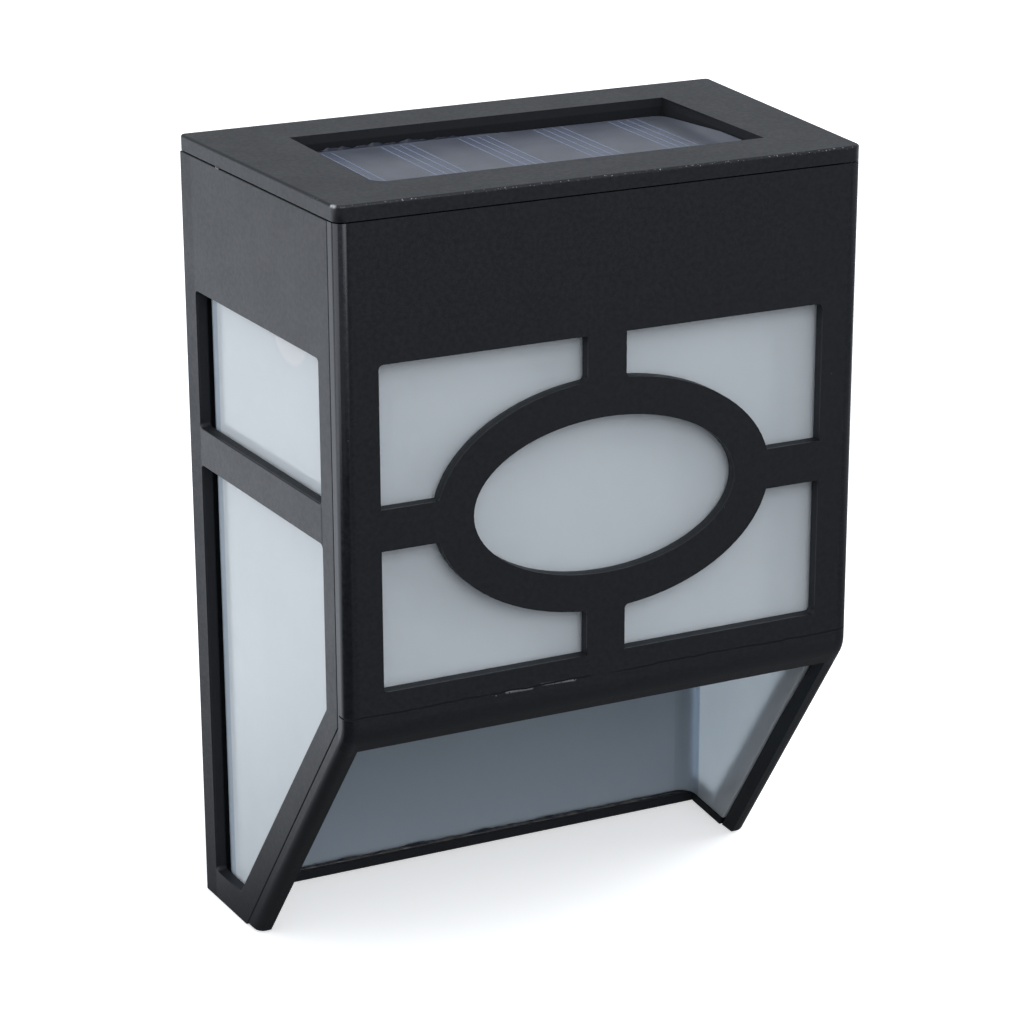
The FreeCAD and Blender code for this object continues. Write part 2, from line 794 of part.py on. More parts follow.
def resin_cover():
    """Clear cast resin over the cells, hollowed underneath for the cells and tabs."""
    body = new_body("resin_cover")
    reach = "recess_reach - solar_edge_gap"
    top_view = new_sketch(body, "resin_outline", "XY_Plane", CELL_SEAT)
    add_outline(top_view, box_corners(f"-({reach})", reach, "-(recess_front - solar_edge_gap)",
                                      "-(recess_back + solar_edge_gap)"))
    pad(body, top_view, f"resin_top - ({CELL_SEAT})", "resin")
    fillet(body, "resin_rounding", "recess_radius", lambda middle, ends: is_upright(ends))

    top_view = new_sketch(body, "cell_space_outline", "XY_Plane", CELL_SEAT)
    row_reach = f"({CELL_COUNT} * cell_pitch / 2 + cell_room)"
    half_row = "(cell_width / 2 + cell_room)"
    add_outline(top_view, box_corners(f"-{row_reach}", row_reach,
                                      f"-({CELL_ROW} + {half_row})",
                                      f"-({CELL_ROW} - {half_row})"))
    pocket(body, top_view, "cell_space", "cell_thickness + tab_thickness + cell_room / 5",
           backwards=True)
    return body


def cap_seal():
    """Foam ring squeezed between the cap's skirt and the rim of the housing."""
    body = new_body("cap_seal")
    top_view = new_sketch(body, "seal_outline", "XY_Plane", "housing_top")
    add_outline(top_view, skirt_plan("skirt_gap + seal_inset"))
    add_outline(top_view, skirt_plan("skirt_gap + skirt_wall - seal_inset"))
    pad(body, top_view, "skirt_foot - housing_top", "seal")
    return body


def head_housing():
    """Open tray under the cap that holds the battery, the circuit board and the screws."""
    body = new_body("head_housing")
    front_face = "depth - front_wall - skirt_gap"
    top_view = new_sketch(body, "housing_outline", "XY_Plane", "housing_bottom")
    add_outline(top_view, plan("side_wall + skirt_gap", front_face, "housing_back"))
    pad(body, top_view, "housing_top - housing_bottom", "housing")

    top_view = new_sketch(body, "rim_outline", "XY_Plane", "rim_bottom")
    add_outline(top_view, skirt_plan("skirt_gap"))
    pad(body, top_view, "housing_top - rim_bottom", "rim")

    top_view = new_sketch(body, "tray_space_outline", "XY_Plane", "housing_top")
    add_outline(top_view, plan("side_wall + skirt_gap + housing_wall",
                               f"{front_face} - housing_wall", "housing_back + housing_wall"))
    pocket(body, top_view, "tray_space", "housing_top - housing_floor")

    floor = "housing_floor - rib_root"
    top_view = new_sketch(body, "post_outline", "XY_Plane", floor)
    for across, up in post_places():
        add_circle(top_view, across, up, "post_radius")
    pad(body, top_view, f"housing_top - ({floor})", "posts")

    top_view = new_sketch(body, "board_post_outline", "XY_Plane", floor)
    for side in ("", "-"):
        add_circle(top_view, f"{side}board_post_reach", "-board_row", "board_post_radius")
    pad(body, top_view, f"board_bottom - ({floor})", "board_posts")

    top_view = new_sketch(body, "end_wall_outline", "XY_Plane", floor)
    for side in ("", "-"):
        add_outline(top_view, box_corners(f"{side}end_wall_reach",
                                          f"{side}(end_wall_reach + end_wall_thickness)",
                                          "-(cell_row + end_wall_depth / 2)",
                                          "-(cell_row - end_wall_depth / 2)"))
    pad(body, top_view, f"end_wall_top - ({floor})", "end_walls")

    top_view = new_sketch(body, "saddle_outline", "XY_Plane", floor)
    for side in ("", "-"):
        add_outline(top_view, box_corners(f"{side}saddle_offset",
                                          f"{side}(saddle_offset + saddle_thickness)",
                                          "-(cell_row + end_wall_depth / 2)",
                                          "-(cell_row - end_wall_depth / 2)"))
    pad(body, top_view, f"saddle_top - ({floor})", "saddles")

    side_view = new_sketch(body, "saddle_hollow_outline", "YZ_Plane")
    add_circle(side_view, "-cell_row", "battery_axis_height", "battery_radius + saddle_gap")
    pocket(body, side_view, "saddle_hollow", "2 * end_wall_reach - 1", both_ways=True)
    side_view = new_sketch(body, "pin_hole_outline", "YZ_Plane")
    add_circle(side_view, "-cell_row", "battery_axis_height", "contact_pin_radius + glue_gap / 2")
    pocket(body, side_view, "pin_holes", "2 * contact_pin_end", both_ways=True)

    top_view = new_sketch(body, "screw_hole_outline", "XY_Plane", "housing_bottom")
    for across, up in post_places():
        add_circle(top_view, across, up, "screw_hole_radius")
    pocket(body, top_view, "screw_holes", backwards=True)
    top_view = new_sketch(body, "head_hole_outline", "XY_Plane", "housing_bottom")
    for across, up in post_places():
        add_circle(top_view, across, up, "head_hole_radius")
    pocket(body, top_view, "head_holes", "head_seat - housing_bottom", backwards=True)

    top_view = new_sketch(body, "floor_hole_outline", "XY_Plane", "housing_bottom")
    for side in ("", "-"):
        add_circle(top_view, f"{side}lamp_reach", "-board_row", "lamp_radius + lamp_hole_gap")
    add_outline(top_view, knob_slot("floor_slot_gap"))
    pocket(body, top_view, "floor_holes", "housing_floor - housing_bottom + rib_root / 2",
           backwards=True)
    return body


def reflector_plate():
    """White sheet stuck under the housing: the bright ceiling of the lamp."""
    body = new_body("reflector_plate")
    top_view = new_sketch(body, "sheet_outline", "XY_Plane", "reflector_bottom")
    add_outline(top_view, plan("reflector_inset", "reflector_front", "reflector_back"))
    for side in ("", "-"):
        add_circle(top_view, f"{side}lamp_reach", "-board_row",
                   "lamp_radius + lamp_hole_gap + reflector_hole_gap")
    for across, up in post_places():
        add_circle(top_view, across, up, "head_hole_radius + reflector_hole_gap")
    add_outline(top_view, knob_slot("floor_slot_gap + reflector_hole_gap"))
    pad(body, top_view, "reflector_top - reflector_bottom", "sheet")
    return body


def housing_screws():
    """Four self-tapping screws with crossed heads, driven up from under the housing."""
    screws = []
    for index, (across, up) in enumerate(post_places(), start=1):
        forward = up.lstrip("-")
        head = new_rod(f"screw_head_{index}", "screw_head_radius", "screw_head_height",
                       across, forward, "head_seat - screw_head_height")
        shank = new_rod(f"screw_shank_{index}", "screw_radius",
                        "screw_tip - head_seat + screw_root", across, forward,
                        "head_seat - screw_root")
        screw = document.addObject("Part::Fuse", f"screw_blank_{index}")
        screw.Base = head
        screw.Tool = shank
        under = "head_seat - screw_head_height - 0.1"
        bars = [
            new_box(f"cross_a_{index}", "cross_length", "cross_width", "cross_depth",
                    f"{across} - cross_length / 2", f"{up} - cross_width / 2", under),
            new_box(f"cross_b_{index}", "cross_width", "cross_length", "cross_depth",
                    f"{across} - cross_width / 2", f"{up} - cross_length / 2", under),
        ]
        cross = document.addObject("Part::MultiFuse", f"screw_cross_{index}")
        cross.Shapes = bars
        cut = document.addObject("Part::Cut", f"screw_{index}")
        cut.Base = screw
        cut.Tool = cross
        screws.append(cut)
    return gather("housing_screws", screws)


def battery_cell():
    """Rechargeable AA cell lying across the housing, its positive end to the right."""
    can = new_rod("battery_can", "battery_radius", "battery_length",
                  "-battery_length / 2", "cell_row", "battery_axis_height", "across")
    nub = new_rod("battery_nub", "battery_nub_radius", "battery_nub_length + 1",
                  "battery_length / 2 - 1", "cell_row", "battery_axis_height", "across")
    return gather("battery_cell", [can, nub], "Part::MultiFuse")


def plate_contact():
    """Plated steel tag at the positive end, with a pin through the end wall for its wire."""
    tag = new_box("plus_tag", "contact_thickness", "contact_width", "contact_height",
                  "end_wall_reach - contact_thickness", "-cell_row - contact_width / 2",
                  "battery_axis_height - contact_height / 2")
    pin = new_rod("plus_pin", "contact_pin_radius",
                  "contact_pin_end - end_wall_reach + contact_thickness / 2",
                  "end_wall_reach - contact_thickness / 2", "cell_row", "battery_axis_height",
                  "across")
    return gather("plate_contact", [tag, pin], "Part::MultiFuse")


def leaf_contact():
    """Bent spring leaf at the negative end of the cell, with a pin like the other one's."""
    body = new_body("leaf_contact")
    front_view = new_sketch(body, "leaf_outline", "XZ_Plane", "cell_row - contact_width / 2")
    wall = "-(end_wall_reach - 0.02)"
    low = "battery_axis_height - contact_height / 2"
    high = "battery_axis_height + contact_height / 2"
    crest = "-(battery_length / 2 + 0.05)"
    add_outline(front_view, [
        (wall, low),
        (f"{wall} + contact_thickness", low),
        (f"{wall} + contact_thickness", f"{high} - 1"),
        (f"{crest} - contact_thickness", "battery_axis_height + 0.5"),
        (f"{crest} - contact_thickness", "battery_axis_height - 2"),
        (crest, "battery_axis_height - 2"),
        (crest, "battery_axis_height + 0.7"),
        (f"{wall} + contact_thickness", high),
        (wall, high),
    ])
    pad(body, front_view, "contact_width", "leaf")

    side_view = new_sketch(body, "pin_outline", "YZ_Plane", f"{wall} + contact_thickness / 2")
    add_circle(side_view, "-cell_row", "battery_axis_height", "contact_pin_radius")
    pad(body, side_view, f"contact_pin_end + {wall} + contact_thickness / 2", "pin",
        backwards=True)
    return body


def circuit_board():
    """Narrow board over the two lamps; it carries the switch, the chip and the coil."""
    body = new_body("circuit_board")
    top_view = new_sketch(body, "board_outline", "XY_Plane", "board_bottom")
    add_outline(top_view, box_corners("-board_length / 2", "board_length / 2",
                                      "-(board_row + board_width / 2)",
                                      "-(board_row - board_width / 2)"))
    for side in ("", "-"):
        for lead in ("- lead_offset", "+ lead_offset"):
            add_circle(top_view, f"{side}lamp_reach {lead}", "-board_row",
                       "lead_radius + lead_hole_gap")
    pad(body, top_view, "board_thickness", "board")
    return body


def control_chip():
    """Small charge and switching chip standing on the board on four legs."""
    package = new_box("chip_package", "chip_length", "chip_width", "chip_height",
                      "chip_offset - chip_length / 2", "-board_row - chip_width / 2",
                      f"{BOARD_TOP} + chip_stand")
    legs = []
    for index in range(CHIP_LEGS):
        middle = f"chip_offset + {index - (CHIP_LEGS - 1) / 2} * chip_leg_pitch"
        legs.append(new_box(f"chip_leg_{index + 1}", "chip_leg_side", "chip_leg_side",
                            "chip_stand + chip_leg_side", f"{middle} - chip_leg_side / 2",
                            "-board_row - chip_leg_side / 2", BOARD_TOP))
    return gather("control_chip", [package] + legs, "Part::MultiFuse")


def choke_coil():
    """Axial choke of the lamp driver, lying on the board between two bent leads."""
    height = f"{BOARD_TOP} + coil_radius + coil_stand"
    barrel = new_rod("choke_barrel", "coil_radius", "coil_length",
                     "coil_offset - coil_length / 2", "board_row", height, "across")
    lead = new_rod("choke_lead", "lead_radius", "2 * (coil_foot_reach + lead_radius)",
                   "coil_offset - coil_foot_reach - lead_radius", "board_row", height, "across")
    feet = [new_rod(f"choke_foot_{index}", "lead_radius", "coil_radius + coil_stand",
                    f"coil_offset {sign} coil_foot_reach", "board_row", BOARD_TOP)
            for index, sign in enumerate("-+", start=1)]
    return gather("choke_coil", [barrel, lead] + feet, "Part::MultiFuse")


def lamp(label, side):
    """One clear 5 mm lamp that points down through the floor and the reflector."""
    body = new_body(label)
    across = f"{side}lamp_reach"
    axis_view = new_sketch(body, "lamp_outline", "XZ_Plane", "board_row")
    dome_centre = "lamp_tip + lamp_radius"
    add_outline(axis_view, [
        (across, dome_centre),
        (f"{across} + lamp_radius", dome_centre),
        (f"{across} + lamp_radius", "lamp_flange_bottom"),
        (f"{across} + lamp_flange_radius", "lamp_flange_bottom"),
        (f"{across} + lamp_flange_radius", FLANGE_TOP),
        (across, FLANGE_TOP),
    ])
    turned = body.newObject("PartDesign::Revolution", "lamp_barrel")
    turned.Profile = axis_view
    turned.ReferenceAxis = (axis_view, ["Edge6"])
    turned.Angle = 360
    document.recompute()
    dome_edge = number(dome_centre)
    fillet(body, "lamp_dome", "lamp_radius - 0.02",
           lambda middle, ends: near(middle.z, dome_edge))
    return body


def lamp_leads():
    """The four stiff wires of the two lamps, up into the circuit board."""
    leads = []
    for index, place in enumerate(("lamp_reach - lead_offset", "lamp_reach + lead_offset",
                                   "-lamp_reach - lead_offset", "-lamp_reach + lead_offset"),
                                  start=1):
        leads.append(new_rod(f"lead_{index}", "lead_radius",
                             f"{BOARD_TOP} + lead_tail - ({FLANGE_TOP})",
                             place, "board_row", FLANGE_TOP))
    return gather("lamp_leads", leads)


def switch_case():
    """Case of the slide switch, under the board, open below for its knob."""
    case = new_box("switch_block", "switch_length", "switch_width",
                   "switch_top - switch_bottom", "-switch_length / 2",
                   "-board_row - switch_width / 2", "switch_bottom")
    room_low = "knob_foot_bottom - glue_gap"
    room = new_box("switch_room", "switch_length - 2 * switch_wall",
                   "switch_width - 2 * switch_wall", f"switch_top - switch_wall - ({room_low})",
                   "-switch_length / 2 + switch_wall",
                   "-board_row - switch_width / 2 + switch_wall", room_low)
    slot_length = "knob_travel + knob_length + 2 * knob_slot_gap"
    slot_width = "knob_width + 2 * knob_slot_gap"
    slot = new_box("switch_slot", slot_length, slot_width, f"{room_low} - switch_bottom + 2",
                   f"-({slot_length}) / 2", f"-board_row - ({slot_width}) / 2",
                   "switch_bottom - 1")
    return cut_away("switch_case", case, [room, slot])


def switch_knob():
    """Knob of the slide switch: a foot held in the case and a stem that reaches down."""
    start = "-knob_travel / 2"
    foot = new_box("knob_foot", "knob_foot_length", "knob_foot_width",
                   "knob_foot_top - knob_foot_bottom", f"{start} - knob_foot_length / 2",
                   "-board_row - knob_foot_width / 2", "knob_foot_bottom")
    stem = new_box("knob_stem", "knob_length", "knob_width",
                   "knob_foot_bottom - knob_bottom + 0.5", f"{start} - knob_length / 2",
                   "-board_row - knob_width / 2", "knob_bottom")
    return gather("switch_knob", [foot, stem], "Part::MultiFuse")


def wire(label, route):
    """An insulated wire: straight runs joined by tangent arcs at the corners of its route."""
    points = [Vector(*[number(value) for value in point]) for point in route]
    edges = []
    start = points[0]
    bends = []
    for before, corner, after in zip(points, points[1:], points[2:]):
        arriving = corner - before
        leaving = after - corner
        half_turn = arriving.getAngle(leaving) / 2
        setback = 0.45 * min(arriving.Length, leaving.Length)
        bend = setback / math.tan(half_turn)
        arriving.normalize()
        leaving.normalize()
        arc_start = corner - arriving * setback
        arc_end = corner + leaving * setback
        towards_centre = leaving - arriving
        towards_centre.normalize()
        arc_middle = corner + towards_centre * (bend / math.cos(half_turn) - bend)
        edges.append(Part.LineSegment(start, arc_start).toShape())
        edges.append(Part.Arc(arc_start, arc_middle, arc_end).toShape())
        start = arc_end
        bends.append(round(bend, 2))
    edges.append(Part.LineSegment(start, points[-1]).toShape())
    path = Part.Wire(edges)
    radius = number("wire_radius")
    section = Part.Wire([Part.makeCircle(radius, points[0], points[1] - points[0])])
    node = document.addObject("Part::Feature", label)
    node.Shape = path.makePipeShell([section], True, False)
    node.Label = label
    expected = math.pi * radius ** 2 * path.Length
    print(label, "bend radii", bends, "volume over section x length",
          round(node.Shape.Volume / expected, 4))
    return lower_to_mount(node)


def panel_wire(label, side):
    """Lead of the solar module, through the tray's hole and down onto the circuit board."""
    hole_row = "-wire_hole_row"
    start = f"{side}panel_wire_start"
    end = f"{side}panel_wire_end"
    return wire(label, [
        (start, hole_row, "board_seat"),
        (start, hole_row, "board_seat - panel_wire_drop"),
        (end, "-wire_row", "board_seat - panel_wire_fall"),
        (end, "-wire_row", BOARD_TOP),
    ])


def battery_wire(label, side):
    """Lead from a contact's pin, round to the front and down onto the circuit board."""
    reach = f"{side}battery_wire_reach"
    over_board = f"{BOARD_TOP} + battery_wire_rise"
    return wire(label, [
        (f"{side}contact_pin_end", "-cell_row", "battery_axis_height"),
        (reach, "-cell_row", "battery_axis_height"),
        (reach, "-(wire_row + cell_row) / 2", over_board),
        (reach, "-wire_row", over_board),
        (reach, "-wire_row", BOARD_TOP),
    ])


def main():
    nodes = [
        front_shell(),
        side_panel("left_side_panel", "-"),
        side_panel("right_side_panel", ""),
        back_plate(),
        diffuser_liner(),
        solar_cap(),
        solar_board(),
        solar_cells(),
        cell_tabs(),
        resin_cover(),
        cap_seal(),
        head_housing(),
        reflector_plate(),
        housing_screws(),
        battery_cell(),
        plate_contact(),
        leaf_contact(),
        circuit_board(),
        control_chip(),
        choke_coil(),
        lamp("left_lamp", "-"),
        lamp("right_lamp", ""),
        lamp_leads(),
        switch_case(),
        switch_knob(),
        panel_wire("panel_wire_plus", ""),
        panel_wire("panel_wire_minus", "-"),
        battery_wire("battery_wire_plus", ""),
        battery_wire("battery_wire_minus", "-"),
    ]
    document.recompute()
    for item in document.Objects:
        if "Invalid" in item.State or "Error" in item.State:
            raise RuntimeError(f"{item.Label} did not build: {item.State}")
    os.makedirs("parts", exist_ok=True)
    for node in nodes:
        shape = node.Shape
        if shape.isNull() or not shape.isValid():
            raise RuntimeError(f"{node.Label} has no valid shape")
        shape.exportStep(f"parts/{node.Label}.step")
        print(node.Label, round(shape.Volume, 1), len(shape.Solids))


main()
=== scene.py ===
"""Looks of the solar fence light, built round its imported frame.

The frame is in metres: +Z up, the front faces -Y, and the origin is on the wall between the
keyholes.  The lamp's own lengths are in millimetres, with heights measured up from its bottom
edge, unless they are written with * MM or come from at() or level().  The studio is in metres.
"""
import math

import bpy
import numpy as np
from mathutils import Matrix, Vector


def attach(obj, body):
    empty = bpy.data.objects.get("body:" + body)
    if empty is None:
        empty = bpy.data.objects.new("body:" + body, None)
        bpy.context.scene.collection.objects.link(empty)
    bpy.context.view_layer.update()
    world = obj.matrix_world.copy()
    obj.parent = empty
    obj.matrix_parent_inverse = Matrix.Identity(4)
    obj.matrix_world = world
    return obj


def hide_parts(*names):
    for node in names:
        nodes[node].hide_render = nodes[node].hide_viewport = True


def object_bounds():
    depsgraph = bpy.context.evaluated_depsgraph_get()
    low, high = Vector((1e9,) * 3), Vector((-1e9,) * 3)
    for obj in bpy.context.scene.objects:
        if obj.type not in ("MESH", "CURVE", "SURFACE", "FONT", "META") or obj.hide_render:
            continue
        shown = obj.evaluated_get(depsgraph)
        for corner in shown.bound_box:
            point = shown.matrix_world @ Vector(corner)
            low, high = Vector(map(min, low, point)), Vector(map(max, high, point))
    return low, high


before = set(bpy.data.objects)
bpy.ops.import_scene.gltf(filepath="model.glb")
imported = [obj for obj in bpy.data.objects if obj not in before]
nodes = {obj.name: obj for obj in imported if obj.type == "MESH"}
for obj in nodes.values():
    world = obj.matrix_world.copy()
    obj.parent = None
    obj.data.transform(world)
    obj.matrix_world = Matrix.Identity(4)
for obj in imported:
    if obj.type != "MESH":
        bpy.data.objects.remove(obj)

cad_box = [list(corner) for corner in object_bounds()]
MM = 0.001


# ---------------------------------------------------------------- black mouldings
# The front shell, both side panels, the back plate, the solar cap and the head's housing are
# injection moulded in black ABS with a fine matt finish.  The panels are glued to the shell.

def millimetres(metres):
    """One of the frame's lengths in millimetres, to the nearest micrometre."""
    return round(metres / MM, 3)


HANG = millimetres(-cad_box[0][2])      # height of the keyholes over the lamp's bottom edge

BLACK = (0.0075, 0.0080, 0.0095)
BLACK_ROUGHNESS = 0.42
BLACK_SHEEN = (0.90, 0.92, 1.0)         # tint of the light that it mirrors
SCUFF = (0.17, 0.175, 0.19)             # where it is rubbed pale
CHIPPED = (0.42, 0.43, 0.45)            # where its surface is worn through
# dark and dull: dirt, and painted shade in recesses and on the back stile
DIRT_AND_SHADE = (0.0010, 0.0011, 0.0016)
DIRT_AND_SHADE_ROUGHNESS = 0.95
POLISHED_ROUGHNESS = 0.20

NOISE_SPAN = (0.3, 0.7)                 # nearly all of a noise's values lie between these
GRAIN_SIZE = 0.25 * MM                  # the mould's spark-eroded grain
GRAIN_DEPTH = 0.02 * MM
GRAIN_STRENGTH = 0.35
MOTTLE_SIZE = 0.9 * MM                  # unevenness of the shade and of the shine
MOTTLE_SHADE = (0.72, 1.28)
MOTTLE_SHINE = 0.045
HANDLING_SIZE = 11 * MM                 # wide faint marks in the shine alone
HANDLING_SHINE = 0.015
DUST_SPACING = 3.2 * MM                 # between the places where a speck of dust may lie
DUST_EDGE = (0.022, 0.014)              # a speck's outer and inner reach, in shares of that
CLEAN_SHARE = 0.80                      # of those places
DUST_COLOUR = (0.30, 0.31, 0.33)
DUST_COVER = 0.6
DUST_SHINE = 0.3                        # roughness that it adds
RUB_LIMIT = 0.78                        # noise over this is rubbed, at a cover of 0
RUB_SPAN = 0.5                          # what a cover of 1 takes off that limit
RUB_SOFTNESS = 0.06


def at(x, y, z):
    """A place given in millimetres, with z measured up from the lamp's bottom edge."""
    return (x * MM, y * MM, (z - HANG) * MM)


def join(tree, socket, value):
    """Feeds a socket from another socket, or sets it to a plain value."""
    if isinstance(value, bpy.types.NodeSocket):
        tree.links.new(value, socket)
    elif socket.type == "RGBA" and len(value) == 3:
        socket.default_value = (*value, 1)
    else:
        socket.default_value = value


def add(tree, kind, settings=None, **inputs):
    """A node with its properties set, and its inputs joined by name (spaces written as _)."""
    node = tree.nodes.new(kind)
    for name, setting in (settings or {}).items():
        setattr(node, name, setting)
    for name, value in inputs.items():
        join(tree, node.inputs[name.replace("_", " ")], value)
    return node


def sums(tree, operation, *values, clamp=False):
    """The result of one Math node."""
    node = add(tree, "ShaderNodeMath", {"operation": operation, "use_clamp": clamp})
    for socket, value in zip(node.inputs, values):
        join(tree, socket, value)
    return node.outputs[0]


def vectors(tree, operation, *values, out=0):
    """One output of a Vector Math node."""
    node = add(tree, "ShaderNodeVectorMath", {"operation": operation})
    for socket, value in zip(node.inputs, values):
        join(tree, socket, value)
    return node.outputs[out]


def scaled(tree, vector, factor):
    """A vector or a colour times a single value."""
    node = add(tree, "ShaderNodeVectorMath", {"operation": "SCALE"}, Scale=factor)
    join(tree, node.inputs[0], vector)
    return node.outputs[0]


def ramp(tree, value, low, high, to_low=0.0, to_high=1.0, smooth=True):
    """Carries a value from one range to another, clamped."""
    kind = {"interpolation_type": "SMOOTHSTEP" if smooth else "LINEAR"}
    node = add(tree, "ShaderNodeMapRange", kind, Value=value)
    for socket, number in zip(node.inputs[1:5], (low, high, to_low, to_high)):
        join(tree, socket, number)
    return node.outputs[0]


def blend(tree, share, first, second):
    """Mixes two colours by a share."""
    node = add(tree, "ShaderNodeMix", {"data_type": "RGBA"})
    for index, value in ((0, share), (6, first), (7, second)):
        join(tree, node.inputs[index], value)
    return node.outputs[2]


def noise(tree, place, size, detail=2.0, rough=0.5):
    """Noise whose blobs are about as wide as size, from 0 to 1."""
    node = add(tree, "ShaderNodeTexNoise", Vector=place, Scale=1 / size, Detail=detail,
               Roughness=rough)
    return node.outputs["Fac"]


def wander(tree, place, size, low=0.0, high=1.0, detail=3.0):
    """Noise that is spread over the whole range from low to high."""
    return ramp(tree, noise(tree, place, size, detail), *NOISE_SPAN, low, high)


def relief(tree, normal, height, depth, strength):
    """Feeds a normal socket from a height, which goes from 0 to 1 over a depth."""
    bump = add(tree, "ShaderNodeBump", Strength=strength, Distance=depth, Height=height)
    join(tree, normal, bump.outputs["Normal"])


def object_place(tree):
    """The place that is being coloured, in the frame's metres."""
    return tree.nodes.new("ShaderNodeTexCoord").outputs["Object"]


def new_group(name, takes, gives):
    """A shader node group with named sockets; returns it, what it is given and its end."""
    group = bpy.data.node_groups.new(name, "ShaderNodeTree")
    for way, sockets in (("INPUT", takes), ("OUTPUT", gives)):
        for socket, kind in sockets.items():
            group.interface.new_socket(socket, in_out=way, socket_type=f"NodeSocket{kind}")
    start = group.nodes.new("NodeGroupInput")
    end = group.nodes.new("NodeGroupOutput")
    return group, start.outputs, end.inputs


def use_group(tree, group, **inputs):
    """Places a node group in a material, and returns its outputs."""
    return add(tree, "ShaderNodeGroup", {"node_tree": group}, **inputs).outputs


def new_material(name, **shader_inputs):
    """A material with one Principled shader; returns it, its node tree and the shader."""
    material = bpy.data.materials.new(name)
    material.use_nodes = True
    tree = material.node_tree
    shader = tree.nodes["Principled BSDF"]
    for socket, value in shader_inputs.items():
        join(tree, shader.inputs[socket.replace("_", " ")], value)
    return material, tree, shader


def moulded_skin():
    """Fine spark-eroded grain, faint handling marks and sparse pale dust on moulded plastic."""
    group, given, out = new_group(
        "moulded skin",
        {"Color": "Color", "Roughness": "Float", "Grain": "Float", "Dust": "Float"},
        {"Color": "Color", "Roughness": "Float", "Normal": "Vector"})
    place = object_place(group)
    mottle = noise(group, place, MOTTLE_SIZE, 3.0, 0.65)
    handling = wander(group, place, HANDLING_SIZE, -HANDLING_SHINE, HANDLING_SHINE, 2.0)
    dots = add(group, "ShaderNodeTexVoronoi", {"feature": "F1"}, Vector=place,
               Scale=1 / DUST_SPACING)
    chance = add(group, "ShaderNodeSeparateColor", Color=dots.outputs["Color"]).outputs[0]
    rare = sums(group, "GREATER_THAN", chance, CLEAN_SHARE)
    speck = ramp(group, dots.outputs["Distance"], *DUST_EDGE)
    dust = sums(group, "MULTIPLY", sums(group, "MULTIPLY", speck, rare), given["Dust"])
    toned = scaled(group, given["Color"], ramp(group, mottle, *NOISE_SPAN, *MOTTLE_SHADE))
    join(group, out["Color"], blend(group, dust, toned, DUST_COLOUR))
    uneven = sums(group, "ADD", handling,
                  ramp(group, mottle, *NOISE_SPAN, -MOTTLE_SHINE, MOTTLE_SHINE))
    mottled = sums(group, "ADD", given["Roughness"], uneven)
    dusty = sums(group, "MULTIPLY", dust, DUST_SHINE)
    join(group, out["Roughness"], sums(group, "ADD", mottled, dusty))
    grain = noise(group, place, GRAIN_SIZE, 3.0, 0.6)
    relief(group, out["Normal"], grain, GRAIN_DEPTH, given["Grain"])
    return group


def rub_mark():
    """Pale scuffing along a straight stretch, broken up by noise: 1 where it is rubbed."""
    group, given, out = new_group(
        "rub mark",
        {"Start": "Vector", "End": "Vector", "Width": "Float", "Break size": "Float",
         "Cover": "Float"},
        {"Mask": "Float"})
    place = object_place(group)
    along = vectors(group, "SUBTRACT", given["End"], given["Start"])
    ahead = vectors(group, "SUBTRACT", place, given["Start"])
    share = sums(group, "DIVIDE", vectors(group, "DOT_PRODUCT", ahead, along, out=1),
                 vectors(group, "DOT_PRODUCT", along, along, out=1), clamp=True)
    away = vectors(group, "DISTANCE", ahead, scaled(group, along, share), out=1)
    near = ramp(group, away, given["Width"], 0.0)
    inverse = sums(group, "DIVIDE", 1.0, given["Break size"])
    broken = add(group, "ShaderNodeTexNoise", Vector=place, Scale=inverse, Detail=3.0)
    limit = sums(group, "SUBTRACT", RUB_LIMIT,
                 sums(group, "MULTIPLY", given["Cover"], RUB_SPAN))
    patch = ramp(group, broken.outputs["Fac"], limit, sums(group, "ADD", limit, RUB_SOFTNESS))
    join(group, out["Mask"], sums(group, "MULTIPLY", near, patch))
    return group


MOULDED_SKIN = moulded_skin()
RUB_MARK = rub_mark()


def black_plastic(name, marks=(), roughness=BLACK_ROUGHNESS, dirt_and_shade=None, rubbed=SCUFF,
                  polished=None):
    """Satin black ABS.

    Each mark is a rubbed stretch: start, end, width, break size, cover.  The dirt_and_shade
    function gives the share of dirt and of painted shade, which are darker than the plastic and
    have no shine.  The polished function gives the share of shine from handling.
    """
    material, tree, shader = new_material(name, Specular_Tint=BLACK_SHEEN)
    colour = BLACK
    for start, end, width, size, cover in marks:
        mask = use_group(tree, RUB_MARK, Start=at(*start), End=at(*end), Width=width * MM,
                         Break_size=size * MM, Cover=cover)["Mask"]
        colour = blend(tree, mask, colour, rubbed)
    if polished is not None:
        roughness = ramp(tree, polished(tree), 0, 1, roughness, POLISHED_ROUGHNESS, False)
    # dirt and painted shade: darker than the plastic and without shine
    if dirt_and_shade is not None:
        dirt_and_shade_share = dirt_and_shade(tree)
        colour = blend(tree, dirt_and_shade_share, colour, DIRT_AND_SHADE)
        roughness = ramp(tree, dirt_and_shade_share, 0, 1, roughness, DIRT_AND_SHADE_ROUGHNESS, False)
    skin = use_group(tree, MOULDED_SKIN, Color=colour, Roughness=roughness,
                     Grain=GRAIN_STRENGTH, Dust=DUST_COVER)
    join(tree, shader.inputs["Base Color"], skin["Color"])
    join(tree, shader.inputs["Roughness"], skin["Roughness"])
    join(tree, shader.inputs["Normal"], skin["Normal"])
    return material


# ---------------------------------------------------------------- front shell
# One moulding: the opaque band, the oval window frame and the two slanted legs.  The tool's
# parting line crosses its face where the bend begins, and the bend is scuffed in two places.

